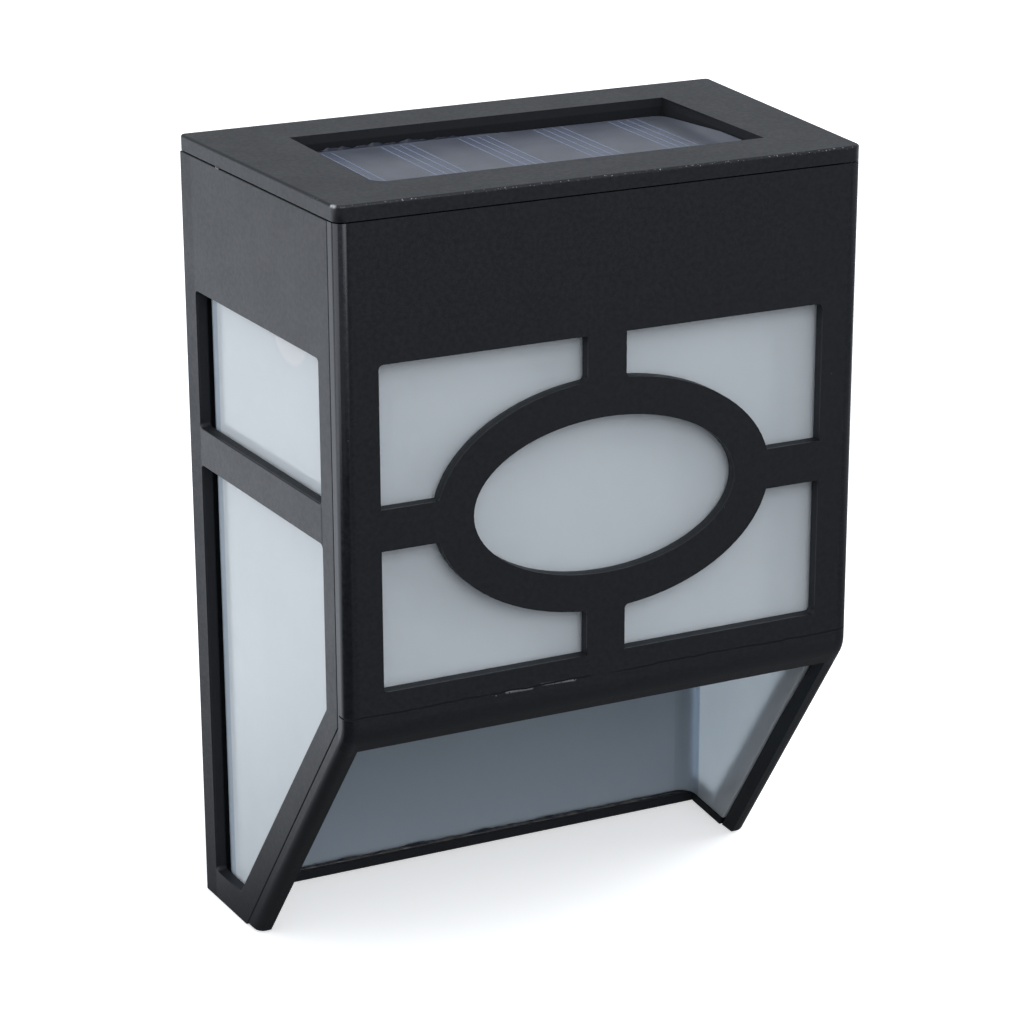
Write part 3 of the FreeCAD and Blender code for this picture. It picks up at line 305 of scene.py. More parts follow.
FRONT = millimetres(cad_box[0][1])
CREASE_HEIGHT = 61.3            # of the parting line
CREASE_HALF = 0.12 * MM         # half the width of its darkest part
CREASE_FADE = 2.2               # times that to where it ends
CREASE_WAVER = 0.15 * MM
CREASE_REACH = 3.0              # how far back it goes round the corners
REVEAL_SHADE = 0.40              # painted shade on the edges of the windows, which lie sunk in the face
REVEAL_START = (0.3, 0.6)       # depths behind the face between which that painted shade sets in
REVEAL_FOOT = (61.5, 62.5)      # and heights over the bend
WINDOWS_REACH = 47.0 * MM       # the windows lie within this distance of the middle
CORNER_REACH = (50.3 * MM, 51.2 * MM)
CORNER_DEPTH = (4.0, 3.0)
MOULDED_EDGE = 0.22 * MM        # the softened edge that a moulding has
SHARP = math.radians(32)        # edges that turn by more than this are softened
WELD_GAP = 0.002 * MM


def level(z):
    """The frame's Z, in metres, of a height in millimetres."""
    return at(0, 0, z)[2]


def parts_of(tree, place):
    """The X, Y and Z of a place."""
    return add(tree, "ShaderNodeSeparateXYZ", Vector=place).outputs


def dress(name, material):
    """Gives a CAD node its material."""
    nodes[name].data.materials.clear()
    nodes[name].data.materials.append(material)


def soften(name, width=MOULDED_EDGE, steps=2):
    """Rounds a CAD node's sharp edges a little, so that they catch the light."""
    weld = nodes[name].modifiers.new("weld", "WELD")
    weld.merge_threshold = WELD_GAP
    bevel = nodes[name].modifiers.new("edge", "BEVEL")
    bevel.width = width
    bevel.segments = steps
    bevel.limit_method = "ANGLE"
    bevel.angle_limit = SHARP
    bevel.harden_normals = True
    bevel.miter_outer = "MITER_ARC"


def shell_dirt_and_shade(tree):
    """A dark wavering line across the face where the bend begins, and painted shade on the
    windows' edges.
    """
    place = object_place(tree)
    split = parts_of(tree, place)
    waver = wander(tree, place, 6 * MM, -CREASE_WAVER, CREASE_WAVER)
    rise = sums(tree, "SUBTRACT", split["Z"], level(CREASE_HEIGHT))
    away = sums(tree, "ABSOLUTE", sums(tree, "ADD", rise, waver))
    line = ramp(tree, away, CREASE_FADE * CREASE_HALF, CREASE_HALF)
    forward = sums(tree, "LESS_THAN", split["Y"], (FRONT + CREASE_REACH) * MM)
    whole = ramp(tree, noise(tree, place, 9 * MM), 0.32, 0.5, 0.25, 1.0)
    crease = sums(tree, "MULTIPLY", sums(tree, "MULTIPLY", line, forward), whole)
    # painted shade on the windows' sunk edges
    inwards = ramp(tree, split["Y"], *[(FRONT + depth) * MM for depth in REVEAL_START])
    over_bend = ramp(tree, split["Z"], *map(level, REVEAL_FOOT))
    reveal = sums(tree, "MULTIPLY", sums(tree, "MULTIPLY", inwards, over_bend),
                  sums(tree, "LESS_THAN", sums(tree, "ABSOLUTE", split["X"]), WINDOWS_REACH))
    return sums(tree, "MAXIMUM", crease, sums(tree, "MULTIPLY", reveal, REVEAL_SHADE))


def polished_corners(tree):
    """1 on the two front corners, which hands and cloths have polished."""
    split = parts_of(tree, object_place(tree))
    at_side = ramp(tree, sums(tree, "ABSOLUTE", split["X"]), *CORNER_REACH)
    at_front = ramp(tree, split["Y"], *[(FRONT + depth) * MM for depth in CORNER_DEPTH])
    return sums(tree, "MULTIPLY", at_side, at_front)


SHELL_BLACK = black_plastic("front_shell_black", marks=(
    ((-23.6, FRONT, 60.9), (-22.6, FRONT, 60.9), 0.35, 0.5, 0.45),
    ((-20.8, FRONT, 61.1), (-15.5, FRONT, 61.0), 0.42, 0.6, 0.85),
    ((-13.5, FRONT, 61.35), (-6.5, FRONT, 61.1), 0.42, 0.6, 0.85),
    ((-50.5, FRONT, 154.6), (-45.5, FRONT, 154.5), 0.25, 0.3, 0.45),
), dirt_and_shade=shell_dirt_and_shade, polished=polished_corners)
dress("front_shell", SHELL_BLACK)
soften("front_shell")


# ---------------------------------------------------------------- side panels
# Flat mouldings of the same black ABS, each with a small window over a tall one.  They are
# glued to the shell's returns, and the stile at the wall is painted darker towards the bottom, as
# painted shade.

STILE_FRONT = (-5.6 * MM, -4.4 * MM)    # depths between which the stile's painted shade sets in
STILE_HEIGHTS = (150.0, 40.0)           # heights between which it grows,
STILE_SHADE = (0.08, 0.42)               # from the first share to the second
REACH_AT_WALL = millimetres(cad_box[1][0]) * MM
SIDE_FLARE = 0.06                       # the sides come in towards the front by this share


def panel_shade(tree):
    """Painted shade on the stile at the wall, more so towards the bottom, and on the windows'
    edges.
    """
    split = parts_of(tree, object_place(tree))
    # painted shade: the stile darker and duller towards the bottom, for its dimmer reflection
    at_back = ramp(tree, split["Y"], *STILE_FRONT)
    lower = ramp(tree, split["Z"], *map(level, STILE_HEIGHTS), *STILE_SHADE)
    stile = sums(tree, "MULTIPLY", at_back, lower)
    reach = sums(tree, "ADD", sums(tree, "ABSOLUTE", split["X"]),
                 sums(tree, "MULTIPLY", split["Y"], -SIDE_FLARE))
    inwards = sums(tree, "SUBTRACT", REACH_AT_WALL, reach)
    reveal = ramp(tree, inwards, *[depth * MM for depth in REVEAL_START])
    return sums(tree, "MAXIMUM", stile, sums(tree, "MULTIPLY", reveal, REVEAL_SHADE))


PANEL_BLACK = black_plastic("side_panel_black", marks=(
    ((-52.0, -57.6, 58.0), (-53.3, -36.0, 28.0), 0.35, 0.5, 0.25),
    ((-53.9, -62.3, 150.8), (-53.9, -61.3, 151.6), 0.35, 0.4, 0.5),
    ((-56.0, -14.0, 30.0), (-56.0, -14.5, 36.0), 0.30, 0.5, 0.2),
), dirt_and_shade=panel_shade)
for name in ("left_side_panel", "right_side_panel"):
    dress(name, PANEL_BLACK)
    soften(name)


# ---------------------------------------------------------------- back plate
# The plain back, moulded in the same black ABS, with two keyholes for the wall screws and a
# ledge under the liner's back wall.  It is glued between the side panels.

BACK_ROUGHNESS = 0.48

dress("back_plate", black_plastic("back_plate_black", roughness=BACK_ROUGHNESS))


# ---------------------------------------------------------------- glue
# Dark solvent glue that was squeezed out and has dried: a wavy ridge on the ledge, at the foot
# of the liner's back wall, and a drop in the seam under the cap on the left.

# Each run has a start, an end, a radius and a number of rings.
GLUE_RIDGE = (at(-50.5, -4.4, 1.90), at(50.5, -4.4, 1.90), 0.62 * MM, 600)
GLUE_DROP = (at(-55.95, -18.0, 154.35), at(-56.05, -16.3, 154.35), 0.30 * MM, 24)
GLUE_SIDES = 12
GLUE_WAVES = ((0.20, 0.37, 0), (0.14, 0.83, 1), (0.05, 2.1, 0))
GLUE_DARK = (0.016, 0.018, 0.028)
GLUE_CLOUD = (0.080, 0.074, 0.070)


def mesh_piece(name, corners, faces, material, body, slot, smooth=True):
    """An object from arrays of corners (metres) and faces, riding on a body."""
    mesh = bpy.data.meshes.new(name)
    mesh.from_pydata(corners.tolist(), [], faces.tolist())
    mesh.update()
    if smooth:
        mesh.shade_smooth()
    piece = bpy.data.objects.new(name, mesh)
    bpy.context.scene.collection.objects.link(piece)
    mesh.materials.append(material)
    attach(piece, body)
    return piece


def waves(run, parts):
    """A sum of sines of a length in millimetres; each part is a swing, a pace and a lead."""
    return sum(swing * np.sin(pace * run + lead) for swing, pace, lead in parts)


def glue_run(start, end, radius, rings):
    """A closed wavy tube between two places.

    At share s of the way it is radius * (4 s (1 - s)) ^ 0.25 * (1 + three sines of the length)
    from its middle line to its skin, so that it swells and narrows and comes to a blunt end.
    """
    start, end = np.array(start), np.array(end)
    length = np.linalg.norm(end - start)
    along = (end - start) / length
    up = np.array([0.0, 0.0, 1.0])
    side = np.cross(along, up)
    share = np.linspace(0, 1, rings)
    swell = 1 + waves(share * length / MM, GLUE_WAVES)
    skin = radius * (4 * share * (1 - share)) ** 0.25 * swell
    turn = np.linspace(0, 2 * np.pi, GLUE_SIDES, endpoint=False)
    ring = np.cos(turn)[:, None] * side + np.sin(turn)[:, None] * up
    corners = start + share[:, None, None] * (end - start) + skin[:, None, None] * ring
    index = np.arange(rings * GLUE_SIDES).reshape(rings, GLUE_SIDES)
    after = np.roll(index, -1, axis=1)
    faces = np.stack([index[:-1], index[1:], after[1:], after[:-1]], -1).reshape(-1, 4)
    return corners.reshape(-1, 3), faces


def dried_glue():
    """Glossy, nearly black glue with paler clouds in it."""
    material, tree, shader = new_material("dried_glue", Roughness=0.22, IOR=1.5)
    cloud = ramp(tree, noise(tree, object_place(tree), 2.5 * MM, 3.0), 0.35, 0.65)
    join(tree, shader.inputs["Base Color"], blend(tree, cloud, GLUE_DARK, GLUE_CLOUD))
    return material


GLUE = dried_glue()
mesh_piece("glue_ridge", *glue_run(*GLUE_RIDGE), GLUE, "lamp_body", "black_abs")
mesh_piece("glue_drop", *glue_run(*GLUE_DROP), GLUE, "lamp_body", "black_abs")


# ---------------------------------------------------------------- milky liner
# A one-piece sleeve of glossy milky polypropylene, lit from outside and from within.  The left
# lamp sits close to it; a pale round pool of light is painted on the wall beside it, and painted
# shade at the bends by the wall.

MILK = (0.665, 0.72, 0.77)
MILK_CLOUD = [shade * 1.035 for shade in MILK]
MILK_DEPTH = 3.4 * MM                   # how far light wanders inside the plastic
SHADED_BEND_MILK = (0.47, 0.54, 0.62)          # painted shade at the bends by the wall
BACK_BEND = (-9.0 * MM, -8.5 * MM)      # depths between which that sets in
# a pale pool of light, painted on the wall beside the left lamp
PAINTED_GLOW = (0.78, 0.80, 0.86)
PAINTED_GLOW_CENTRE = at(-52.0, -41.0, 129.8)
PAINTED_GLOW_RADIUS = 7.8 * MM
PAINTED_GLOW_EDGE = (PAINTED_GLOW_RADIUS * 1.04, PAINTED_GLOW_RADIUS * 0.92)
LINER_EDGE = 0.2 * MM


def milky_plastic():
    """Light scatters inside it; its shade is a little cloudy and its surface ripples."""
    material, tree, shader = new_material(
        "milky_plastic", Roughness=0.16, IOR=1.49, Subsurface_Weight=1.0,
        Subsurface_Radius=(1.0, 1.0, 1.0), Subsurface_Scale=MILK_DEPTH,
        Subsurface_Anisotropy=0.0)
    place = object_place(tree)
    # painted light: a pale round patch on the wall beside the left lamp
    away = vectors(tree, "DISTANCE", place, PAINTED_GLOW_CENTRE, out=1)
    glow = ramp(tree, away, *PAINTED_GLOW_EDGE)
    milk = blend(tree, wander(tree, place, 22 * MM), MILK, MILK_CLOUD)
    # painted shade: the liner darker at the bends by the wall
    at_back = ramp(tree, parts_of(tree, place)["Y"], *BACK_BEND)
    milk = blend(tree, at_back, milk, SHADED_BEND_MILK)
    join(tree, shader.inputs["Base Color"], blend(tree, glow, milk, PAINTED_GLOW))
    relief(tree, shader.inputs["Normal"], noise(tree, place, 9 * MM), depth=0.15 * MM,
           strength=0.25)
    return material


dress("diffuser_liner", milky_plastic())
soften("diffuser_liner", LINER_EDGE)


# ---------------------------------------------------------------- solar cap
# The black lid, moulded with a sunk tray for the solar cells.  It has soft top edges, a small
# bright chip at one corner and a few rubbed specks, and painted shade darkens the tray's walls.

CAP_TOP = HANG + millimetres(cad_box[1][2])
CAP_EDGE = 0.3 * MM
TRAY_REACH = 39.95 * MM
TRAY_BACK = -12.6 * MM
TRAY_FRONT = -53.1 * MM
TRAY_RIM = (0.3, 0.7)           # depths under the top between which the painted shade sets in
TIDE_MARK = (156.0, 155.6)      # heights between which it gets darker
TRAY_SHADE = 0.35
TIDE_SHADE = 0.5                 # what is added under the tide mark


def tray_shade(tree):
    """Painted shade on the tray's walls, most of all below the highest level that the resin
    reached.
    """
    split = parts_of(tree, object_place(tree))
    inside = sums(tree, "MULTIPLY", sums(tree, "LESS_THAN", split["Y"], TRAY_BACK),
                  sums(tree, "GREATER_THAN", split["Y"], TRAY_FRONT))
    inside = sums(tree, "MULTIPLY", inside,
                  sums(tree, "LESS_THAN", sums(tree, "ABSOLUTE", split["X"]), TRAY_REACH))
    # painted shade on the sunk walls, darker again below the resin's highest level
    sunk = ramp(tree, split["Z"], *[level(CAP_TOP - depth) for depth in TRAY_RIM])
    deep = ramp(tree, split["Z"], *map(level, TIDE_MARK))
    dirt_and_shade = sums(tree, "ADD", TRAY_SHADE, sums(tree, "MULTIPLY", deep, TIDE_SHADE))
    return sums(tree, "MULTIPLY", sums(tree, "MULTIPLY", inside, sunk), dirt_and_shade)


CAP_BLACK = black_plastic("solar_cap_black", marks=(
    ((-53.3, -64.6, CAP_TOP - 0.2), (-52.9, -65.4, CAP_TOP - 0.2), 0.55, 1.2, 1.0),
    ((-53.7, -59.5, CAP_TOP - 0.1), (-54.7, -45.0, CAP_TOP - 0.1), 0.30, 0.35, 0.45),
    ((-56.9, -9.0, CAP_TOP - 0.1), (-56.9, -7.0, CAP_TOP - 0.1), 0.25, 0.3, 0.5),
    ((-52.0, FRONT + 0.2, CAP_TOP - 0.3), (52.0, FRONT + 0.2, CAP_TOP - 0.3), 0.38, 0.35, 0.32),
), dirt_and_shade=tray_shade, rubbed=CHIPPED)
dress("solar_cap", CAP_BLACK)
soften("solar_cap", CAP_EDGE, steps=3)


# ---------------------------------------------------------------- solar module
# Dark cells on a board, wired in a row by tinned tabs, with fine silver lines printed on them,
# all under clear resin that is cast into the tray and creeps up its right wall.

CELLS = 5
CELL_TOP = 153.6
SILICON_DARK = (0.060, 0.062, 0.082)
SILICON_PALE = (0.080, 0.083, 0.106)
LINE_PITCH = 16.3               # from one cell's group of lines to the next
LINE_ROW_MIDDLE = -2.3
LINES_PER_GROUP = 4
LINE_STEP = 2.0
LINE_WIDTH = 0.19
LINE_BACK = -13.6
LINE_FRONT = -50.5
LINE_PROUD = 0.015              # how far the lines stand out of the resin
PRINT_DARK = (0.17, 0.20, 0.30)
PRINT_PALE = (0.28, 0.32, 0.46)
WASH_EDGE = (4.4 * MM, 2.6 * MM)        # distances from a group's middle
SILICON_WASH = (0.12, 0.14, 0.24)
RESIN_WASH = (0.21, 0.25, 0.37)
RESIN_WASH_SHARE = 0.28

RESIN_REACH = 39.45
RESIN_BACK = -13.03
RESIN_FRONT = -52.65
RESIN_BOTTOM = 153.45
RESIN_TOP = 154.0
RESIN_CORNER = 3.0
RIGHT_CREEP = 1.55              # height of the resin's rise at the right wall,
RIGHT_FALL = 1.1                # the distance over which it falls off
RIGHT_GROWTH = 24.0             # and the depth over which it grows from the back forwards
BACK_CREEP = 0.95               # height of its ragged rise at the back wall,
BACK_FALL = 0.45                # the distance over which it falls off
BACK_START = 8.0                # and where it starts to grow to the left, over BACK_GROWTH
BACK_GROWTH = 25.0
RAGGED_MIDDLE = 0.6
RAGGED_WAVES = ((0.20, 0.8, 1), (0.15, 1.9, 0), (0.08, 4.1, 2))
HAZE_DARK = (0.165, 0.180, 0.225)
HAZE_PALE = (0.210, 0.225, 0.275)
CREPT_BLUE = (0.010, 0.016, 0.045)
CREPT_DEPTH = (-14.0 * MM, -13.5 * MM)
CREPT_RISE = (0.08, 0.25)
TINNED_GREY = (0.62, 0.63, 0.68)


def line_wash(tree, place):
    """1 over each group of lines, 0 between the groups."""
    off_middle = sums(tree, "SUBTRACT", parts_of(tree, place)["X"], LINE_ROW_MIDDLE * MM)
    away = sums(tree, "PINGPONG", off_middle, LINE_PITCH / 2 * MM)
    return ramp(tree, away, *WASH_EDGE)


def silicon():
    """Blue-grey silicon, with a paler blue wash under each group of lines."""
    material, tree, shader = new_material("silicon", Roughness=0.35, IOR=1.5)
    place = object_place(tree)
    cloud = wander(tree, place, 7 * MM, detail=4.0)
    colour = blend(tree, cloud, SILICON_DARK, SILICON_PALE)
    join(tree, shader.inputs["Base Color"],
         blend(tree, line_wash(tree, place), colour, SILICON_WASH))
    return material


def clear_resin():
    """Epoxy that has gone hazy in the sun, and dark blue where it crept up the back wall."""
    material, tree, shader = new_material("clear_resin", Roughness=0.33, IOR=1.5,
                                          Transmission_Weight=0.5)
    place = object_place(tree)
    split = parts_of(tree, place)
    haze = blend(tree, wander(tree, place, 9 * MM, detail=4.0), HAZE_DARK, HAZE_PALE)
    wash = sums(tree, "MULTIPLY", line_wash(tree, place), RESIN_WASH_SHARE)
    haze = blend(tree, wash, haze, RESIN_WASH)
    crept = sums(tree, "MULTIPLY", ramp(tree, split["Y"], *CREPT_DEPTH),
                 ramp(tree, split["Z"], *[level(RESIN_TOP + rise) for rise in CREPT_RISE]))
    join(tree, shader.inputs["Base Color"], blend(tree, crept, haze, CREPT_BLUE))
    relief(tree, shader.inputs["Normal"], noise(tree, place, 12 * MM), depth=0.2 * MM,
           strength=0.2)
    return material


def printed_silver():
    """Thin silver print, which looks bluish in the resin."""
    material, tree, shader = new_material("printed_silver", Roughness=0.5)
    spots = noise(tree, object_place(tree), 0.5 * MM)
    join(tree, shader.inputs["Base Color"], blend(tree, spots, PRINT_DARK, PRINT_PALE))
    return material


def plain_metal(name, colour, roughness, brushed=0.6):
    """Tinned or plated metal with fine drawn streaks along X."""
    material, tree, shader = new_material(name, Metallic=1.0, Roughness=roughness)
    drawn = vectors(tree, "MULTIPLY", object_place(tree), (0.15, 1.0, 1.0))
    streak = noise(tree, drawn, 0.4 * MM, 3.0)
    shade = ramp(tree, streak, *NOISE_SPAN, 1 - 0.25 * brushed, 1.0)
    join(tree, shader.inputs["Base Color"], scaled(tree, colour, shade))
    relief(tree, shader.inputs["Normal"], streak, depth=0.02 * MM, strength=0.2)
    return material


def places(x, y, z):
    """One place a row, in metres, from arrays or single values in millimetres."""
    return np.stack(np.broadcast_arrays(*at(x, y, z)), -1)


def boxes(lows, highs):
    """Closed boxes from arrays of low and high corners: 8 corners and 6 faces each."""
    pick = np.array([[i, j, k] for i in (0, 1) for j in (0, 1) for k in (0, 1)])
    corners = np.where(pick[None] == 0, lows[:, None], highs[:, None]).reshape(-1, 3)
    sides = np.array([[0, 1, 3, 2], [4, 6, 7, 5], [0, 4, 5, 1], [2, 3, 7, 6], [0, 2, 6, 4],
                      [1, 5, 7, 3]])
    faces = (np.arange(len(lows))[:, None, None] * 8 + sides[None]).reshape(-1, 4)
    return corners, faces


def cell_lines():
    """The conductor lines: a group of four on each cell, thin boxes that run front to back.

    The resin has worn down to their upper edges, so that they show at its surface.
    """
    groups = LINE_ROW_MIDDLE + LINE_PITCH * (np.arange(CELLS) - CELLS // 2)
    steps = LINE_STEP * (np.arange(LINES_PER_GROUP) - (LINES_PER_GROUP - 1) / 2)
    middles = (groups[:, None] + steps[None]).ravel()
    return boxes(places(middles - LINE_WIDTH / 2, LINE_FRONT, CELL_TOP),
                 places(middles + LINE_WIDTH / 2, LINE_BACK, RESIN_TOP + LINE_PROUD))


def resin_surface():
    """The resin's upper surface: grids of x, y and z in millimetres.

    A point is at (u, v) on a grid over a rectangle, with more columns by the right wall and
    more rows by the back wall.  The plan is squeezed at the corners, so that the outline has a
    radius there.  The top is level, plus a rise towards the right wall that falls off
    exponentially, plus a ragged sum of sines against the back wall on the left.
    """
    u = np.concatenate([np.linspace(-1, 0.86, 170), np.linspace(0.87, 1, 22)])
    v = np.concatenate([np.linspace(0, 0.05, 14), np.linspace(0.06, 1, 56)])
    grid_u, grid_v = np.meshgrid(u, v, indexing="ij")
    y = RESIN_BACK + (RESIN_FRONT - RESIN_BACK) * grid_v
    into = np.minimum(np.abs(y - RESIN_BACK), np.abs(y - RESIN_FRONT))
    depth = np.maximum(RESIN_CORNER ** 2 - (RESIN_CORNER - into) ** 2, 0)
    cut = np.where(into < RESIN_CORNER, RESIN_CORNER - np.sqrt(depth), 0)
    reach = RESIN_REACH - cut
    x = grid_u * reach
    forward = RESIN_BACK - y
    growth = np.clip(forward / RIGHT_GROWTH, 0, 1)
    right_creep = RIGHT_CREEP * growth * np.exp(-((reach - x) / RIGHT_FALL) ** 1.2)
    ragged = RAGGED_MIDDLE + waves(x, RAGGED_WAVES)
    leftness = np.clip((BACK_START - x) / BACK_GROWTH, 0, 1)
    back_creep = BACK_CREEP * ragged * leftness * np.exp(-(forward / BACK_FALL) ** 1.5)
    return x, y, RESIN_TOP + right_creep + np.maximum(back_creep, 0)


def closed_slab(x, y, z, bottom):
    """Corners (metres) and faces of a slab under a grid of upper points, flat underneath."""
    count = x.size
    corners = np.concatenate([places(x, y, z).reshape(-1, 3),
                              places(x, y, bottom).reshape(-1, 3)])
    index = np.arange(count).reshape(x.shape)
    quads = np.stack([index[:-1, :-1], index[:-1, 1:], index[1:, 1:], index[1:, :-1]],
                     -1).reshape(-1, 4)
    rim = np.concatenate([index[:, 0], index[-1, 1:], index[-2::-1, -1], index[0, -2:0:-1]])
    following = np.roll(rim, -1)
    wall = np.stack([rim, rim + count, following + count, following], -1)
    faces = np.concatenate([quads, quads[:, ::-1] + count, wall])
    return corners, faces


TINNED = plain_metal("tinned_metal", TINNED_GREY, 0.32)
dress("solar_cells", silicon())
dress("cell_tabs", TINNED)
mesh_piece("cell_lines", *cell_lines(), printed_silver(), "solar_head", "tinned_metal",
           smooth=False)
resin = mesh_piece("cast_resin", *closed_slab(*resin_surface(), RESIN_BOTTOM), clear_resin(),
                   "solar_head", "clear_resin")
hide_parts("resin_cover")


# ---------------------------------------------------------------- head's inside
# The tray under the cap and what it holds: a white reflector, the cell between two plated
# contacts, the board with its chip, choke, lamps and slide switch, the seal and the wires.

HOUSING_ROUGHNESS = 0.5
WRAP_END = 23.7 * MM            # half the length of the battery's sleeve
CHIP_FOOT = level(140.3)        # the chip's legs are below this
CHOKE_MIDDLE = -14.0 * MM
CHOKE_HALF = 3.5 * MM           # half the length of its coat
BARE_METAL = (0.60, 0.61, 0.63)
BARE_ROUGHNESS = 0.3
TRACK_SCALE = 120.0
TRACK_WIDTH = 0.03
MASK_GREEN = (0.010, 0.085, 0.035)
MASK_PALE = (0.014, 0.105, 0.045)
TRACK_GREEN = (0.045, 0.240, 0.100)
LAMP_WARM = (0.94, 0.94, 0.90)
LAMP_WHITE = (0.98, 0.98, 0.95)


def even_plastic(name, colour, roughness, unevenness=0.08, size=3.0, pores=0.0):
    """Moulded or extruded plastic or foam.

    Its shade wanders by the unevenness over a size in millimetres, and it may have pores.
    """
    material, tree, shader = new_material(name, Roughness=roughness)
    place = object_place(tree)
    shade = wander(tree, place, size * MM, 1 - unevenness, 1 + unevenness)
    join(tree, shader.inputs["Base Color"], scaled(tree, colour, shade))
    grain = noise(tree, place, 0.35 * MM, 3.0, 0.6)
    relief(tree, shader.inputs["Normal"], grain, depth=0.03 * MM, strength=0.15 + pores)
    return material


def part_bare(name, bare, colour, roughness):
    """A coloured coat that leaves tinned metal bare where the test gives 1."""
    material, tree, shader = new_material(name)
    place = object_place(tree)
    metal = bare(tree, parts_of(tree, place))
    shade = wander(tree, place, 1.5 * MM, 0.88, 1.12)
    join(tree, shader.inputs["Base Color"],
         scaled(tree, blend(tree, metal, colour, BARE_METAL), shade))
    join(tree, shader.inputs["Metallic"], metal)
    join(tree, shader.inputs["Roughness"],
         ramp(tree, metal, 0, 1, roughness, BARE_ROUGHNESS, False))
    return material


def beyond(axis, middle, half):
    """A test for part_bare: 1 where the place is further than half from the middle."""
    return lambda tree, split: sums(
        tree, "GREATER_THAN", sums(tree, "ABSOLUTE", sums(tree, "SUBTRACT", split[axis], middle)),
        half)


def under(axis, limit):
    """A test for part_bare: 1 where the place is under the limit."""
    return lambda tree, split: sums(tree, "LESS_THAN", split[axis], limit)


def green_board():
    """Green solder mask over straight copper tracks."""
    material, tree, shader = new_material("green_board", Roughness=0.35)
    tracks = add(tree, "ShaderNodeTexBrick", Vector=object_place(tree), Scale=TRACK_SCALE,
                 Color1=MASK_GREEN, Color2=MASK_PALE, Mortar=TRACK_GREEN,
                 Mortar_Size=TRACK_WIDTH)
    join(tree, shader.inputs["Base Color"], tracks.outputs["Color"])
    return material


def lamp_resin():
    """The water-clear resin that a lamp is cast in."""
    material, tree, shader = new_material("lamp_clear", Roughness=0.04, IOR=1.5,
                                          Transmission_Weight=1.0)
    cloud = noise(tree, object_place(tree), 2 * MM)
    join(tree, shader.inputs["Base Color"], blend(tree, cloud, LAMP_WARM, LAMP_WHITE))
    return material


PLATED = plain_metal("plated_steel", (0.56, 0.57, 0.58), 0.30)
STEEL = plain_metal("brushed_steel", (0.50, 0.51, 0.52), 0.38, brushed=1.0)
LAMP_CLEAR = lamp_resin()
BLACK_WIRE = even_plastic("black_wire", (0.012, 0.012, 0.013), 0.38)
RED_WIRE = even_plastic("red_wire", (0.42, 0.012, 0.010), 0.38)
for name, material in (
        ("head_housing", black_plastic("head_housing_black", roughness=HOUSING_ROUGHNESS)),
        ("reflector_plate", even_plastic("white_plastic", (0.82, 0.83, 0.82), 0.35, 0.03)),
        ("solar_board", even_plastic("board_laminate", (0.035, 0.038, 0.045), 0.5,
                                     unevenness=0.15, size=1.2)),
        ("cap_seal", even_plastic("foam_rubber", (0.020, 0.020, 0.020), 0.85,
                                  unevenness=0.2, size=0.8, pores=0.8)),
        ("battery_cell", part_bare("cell_wrap", beyond("X", 0.0, WRAP_END),
                                   (0.05, 0.20, 0.09), 0.25)),
        ("circuit_board", green_board()),
        ("control_chip", part_bare("chip_black", under("Z", CHIP_FOOT),
                                   (0.014, 0.014, 0.015), 0.5)),
        ("choke_coil", part_bare("choke_coat", beyond("X", CHOKE_MIDDLE, CHOKE_HALF),
                                 (0.030, 0.075, 0.045), 0.35)),
        ("switch_knob", even_plastic("knob_black", (0.012, 0.012, 0.013), 0.45)),
        ("housing_screws", PLATED), ("plate_contact", PLATED), ("leaf_contact", PLATED),
        ("lamp_leads", TINNED), ("switch_case", STEEL),
        ("left_lamp", LAMP_CLEAR), ("right_lamp", LAMP_CLEAR),
        ("panel_wire_plus", RED_WIRE), ("battery_wire_plus", RED_WIRE),
        ("panel_wire_minus", BLACK_WIRE), ("battery_wire_minus", BLACK_WIRE)):
    dress(name, material)


# ---------------------------------------------------------------- studio
# A pale sheet of paper under the lamp, large soft lamps at both sides, in front and above, an
# even grey world and the camera.  None of it belongs to the lamp.

FLOOR_HALF = 3.0
FLOOR_Z = cad_box[0][2] - 0.0002
FLOOR_GREY = (0.9, 0.9, 0.9)
FLOOR_NEAR = 0.3                             # distances from the origin between which the
FLOOR_FAR = 1.2                              # floor's own light goes from half to full
MIRRORED_TINT = (0.84, 0.90, 1.0)
MIRRORED_STRENGTH = (0.5, 0.5, 0.5)
MIRRORED_FRONT = 0.03                        # share of it in front and to the left
MIRRORED_AREAS = (("Y", -0.05, 0.11, 1.0),   # behind the lamp
                  ("X", -0.12, -0.02, 0.13),  # under it
                  ("X", 0.05, 0.35, 0.20))   # to its right
SOFTBOX_COLOUR = (0.95, 0.975, 1.0)
AIM = Vector((0, -0.03, -0.06))              # where every lamp points
WORLD_COLOUR = (0.89, 0.94, 1.0, 1)
WORLD_STRENGTH = 0.5
CAMERA_AZIMUTH = math.radians(-25.647)
CAMERA_ELEVATION = math.radians(19.085)
CAMERA_ROLL = math.radians(-0.251)
CAMERA_DISTANCE = 0.65668
CAMERA_SLIP = (-0.555 * MM, 14.806 * MM)     # sideways and upwards, across the view
CAMERA_TARGET = Vector(at(0, -24.0, 66.0))
CAMERA_LENS = 117.40
CAMERA_SENSOR = 36.0
CAMERA_NEAR = 0.05


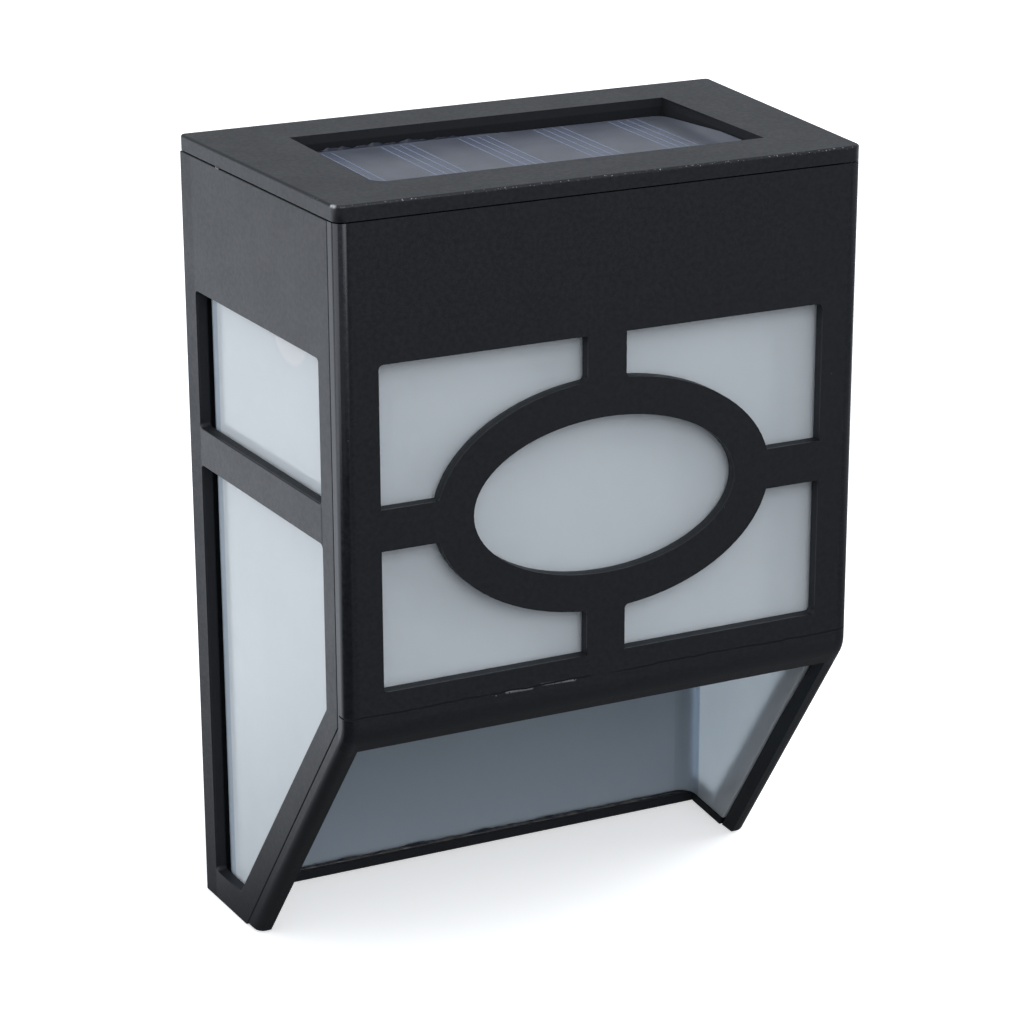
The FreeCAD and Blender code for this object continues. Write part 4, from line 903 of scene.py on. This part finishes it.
def floor_paper():
    """Paper that keeps the lamp's shadow, white to the camera and clear from below.

    It is mirrored dark in front of the lamp, so that the lamp's black front stays black.  Each
    area turns it paler along an axis, from one place to another, up to a share.
    """
    material, tree, shader = new_material("floor_paper", Roughness=0.9)
    place = object_place(tree)
    split = parts_of(tree, place)
    light = add(tree, "ShaderNodeLightPath").outputs
    seen = light["Is Camera Ray"]
    mirrored = sums(tree, "MAXIMUM", light["Is Glossy Ray"], light["Is Transmission Ray"])
    tone = seen
    for axis, start, end, share in MIRRORED_AREAS:
        paler = ramp(tree, split[axis], start, end, MIRRORED_FRONT, share)
        tone = sums(tree, "MAXIMUM", tone, paler)
    join(tree, shader.inputs["Base Color"], blend(tree, tone, (0, 0, 0), FLOOR_GREY))
    glow = sums(tree, "MULTIPLY", sums(tree, "MAXIMUM", seen, mirrored), tone)
    away = vectors(tree, "LENGTH", place, out=1)
    white = ramp(tree, away, FLOOR_NEAR, FLOOR_FAR, 0.5, 1.0)
    strength = blend(tree, seen, MIRRORED_STRENGTH, white)
    join(tree, shader.inputs["Emission Color"], blend(tree, seen, MIRRORED_TINT, (1, 1, 1)))
    join(tree, shader.inputs["Emission Strength"], sums(tree, "MULTIPLY", glow, strength))
    from_below = tree.nodes.new("ShaderNodeNewGeometry").outputs["Backfacing"]
    join(tree, shader.inputs["Alpha"], sums(tree, "SUBTRACT", 1.0, from_below))
    return material


def floor():
    """A flat square of paper just under the lamp."""
    corners = np.array([[-1, -1, 0], [1, -1, 0], [1, 1, 0], [-1, 1, 0]]) * FLOOR_HALF
    corners = corners + [0, 0, FLOOR_Z]
    mesh = bpy.data.meshes.new("floor")
    mesh.from_pydata(corners.tolist(), [], [[0, 1, 2, 3]])
    mesh.materials.append(floor_paper())
    sheet = bpy.data.objects.new("floor", mesh)
    bpy.context.scene.collection.objects.link(sheet)


def softbox(name, place, width, height, power, mirrored=True):
    """A rectangular lamp that shines at the object; it may be kept out of reflections."""
    data = bpy.data.lights.new(name, "AREA")
    data.shape = "RECTANGLE"
    data.size = width
    data.size_y = height
    data.energy = power
    data.color = SOFTBOX_COLOUR
    lamp = bpy.data.objects.new(name, data)
    lamp.location = place
    direction = AIM - Vector(place)
    lamp.rotation_euler = direction.to_track_quat("-Z", "Y").to_euler()
    lamp.visible_camera = False
    lamp.visible_glossy = mirrored
    bpy.context.scene.collection.objects.link(lamp)


def studio_world():
    """An even, slightly cool grey."""
    world = bpy.data.worlds.new("studio")
    world.use_nodes = True
    background = world.node_tree.nodes["Background"]
    background.inputs["Color"].default_value = WORLD_COLOUR
    background.inputs["Strength"].default_value = WORLD_STRENGTH
    bpy.context.scene.world = world


def camera():
    """A long lens at the photograph's viewing angle."""
    data = bpy.data.cameras.new("camera")
    data.lens = CAMERA_LENS
    data.sensor_width = CAMERA_SENSOR
    data.clip_start = CAMERA_NEAR
    turn = (Matrix.Rotation(CAMERA_AZIMUTH, 4, "Z")
            @ Matrix.Rotation(math.pi / 2 - CAMERA_ELEVATION, 4, "X"))
    turn = turn @ Matrix.Rotation(CAMERA_ROLL, 4, "Z")
    slip = turn.to_3x3() @ Vector((*CAMERA_SLIP, CAMERA_DISTANCE))
    eye = bpy.data.objects.new("camera", data)
    eye.matrix_world = Matrix.Translation(CAMERA_TARGET + slip) @ turn
    bpy.context.scene.collection.objects.link(eye)
    bpy.context.scene.camera = eye


floor()
studio_world()
softbox("left_softbox", (-0.9, 0.05, 0.25), width=0.9, height=0.9, power=4.3)
softbox("right_softbox", (0.9, -0.05, 0.2), width=0.8, height=0.8, power=11.0, mirrored=False)
softbox("front_softbox", (-0.12, -0.80, 0.42), width=0.6, height=0.6, power=2.8)
softbox("top_softbox", (-0.1, -0.3, 0.95), width=0.8, height=0.6, power=2.0)
camera()

bpy.context.scene.view_settings.view_transform = "Standard"
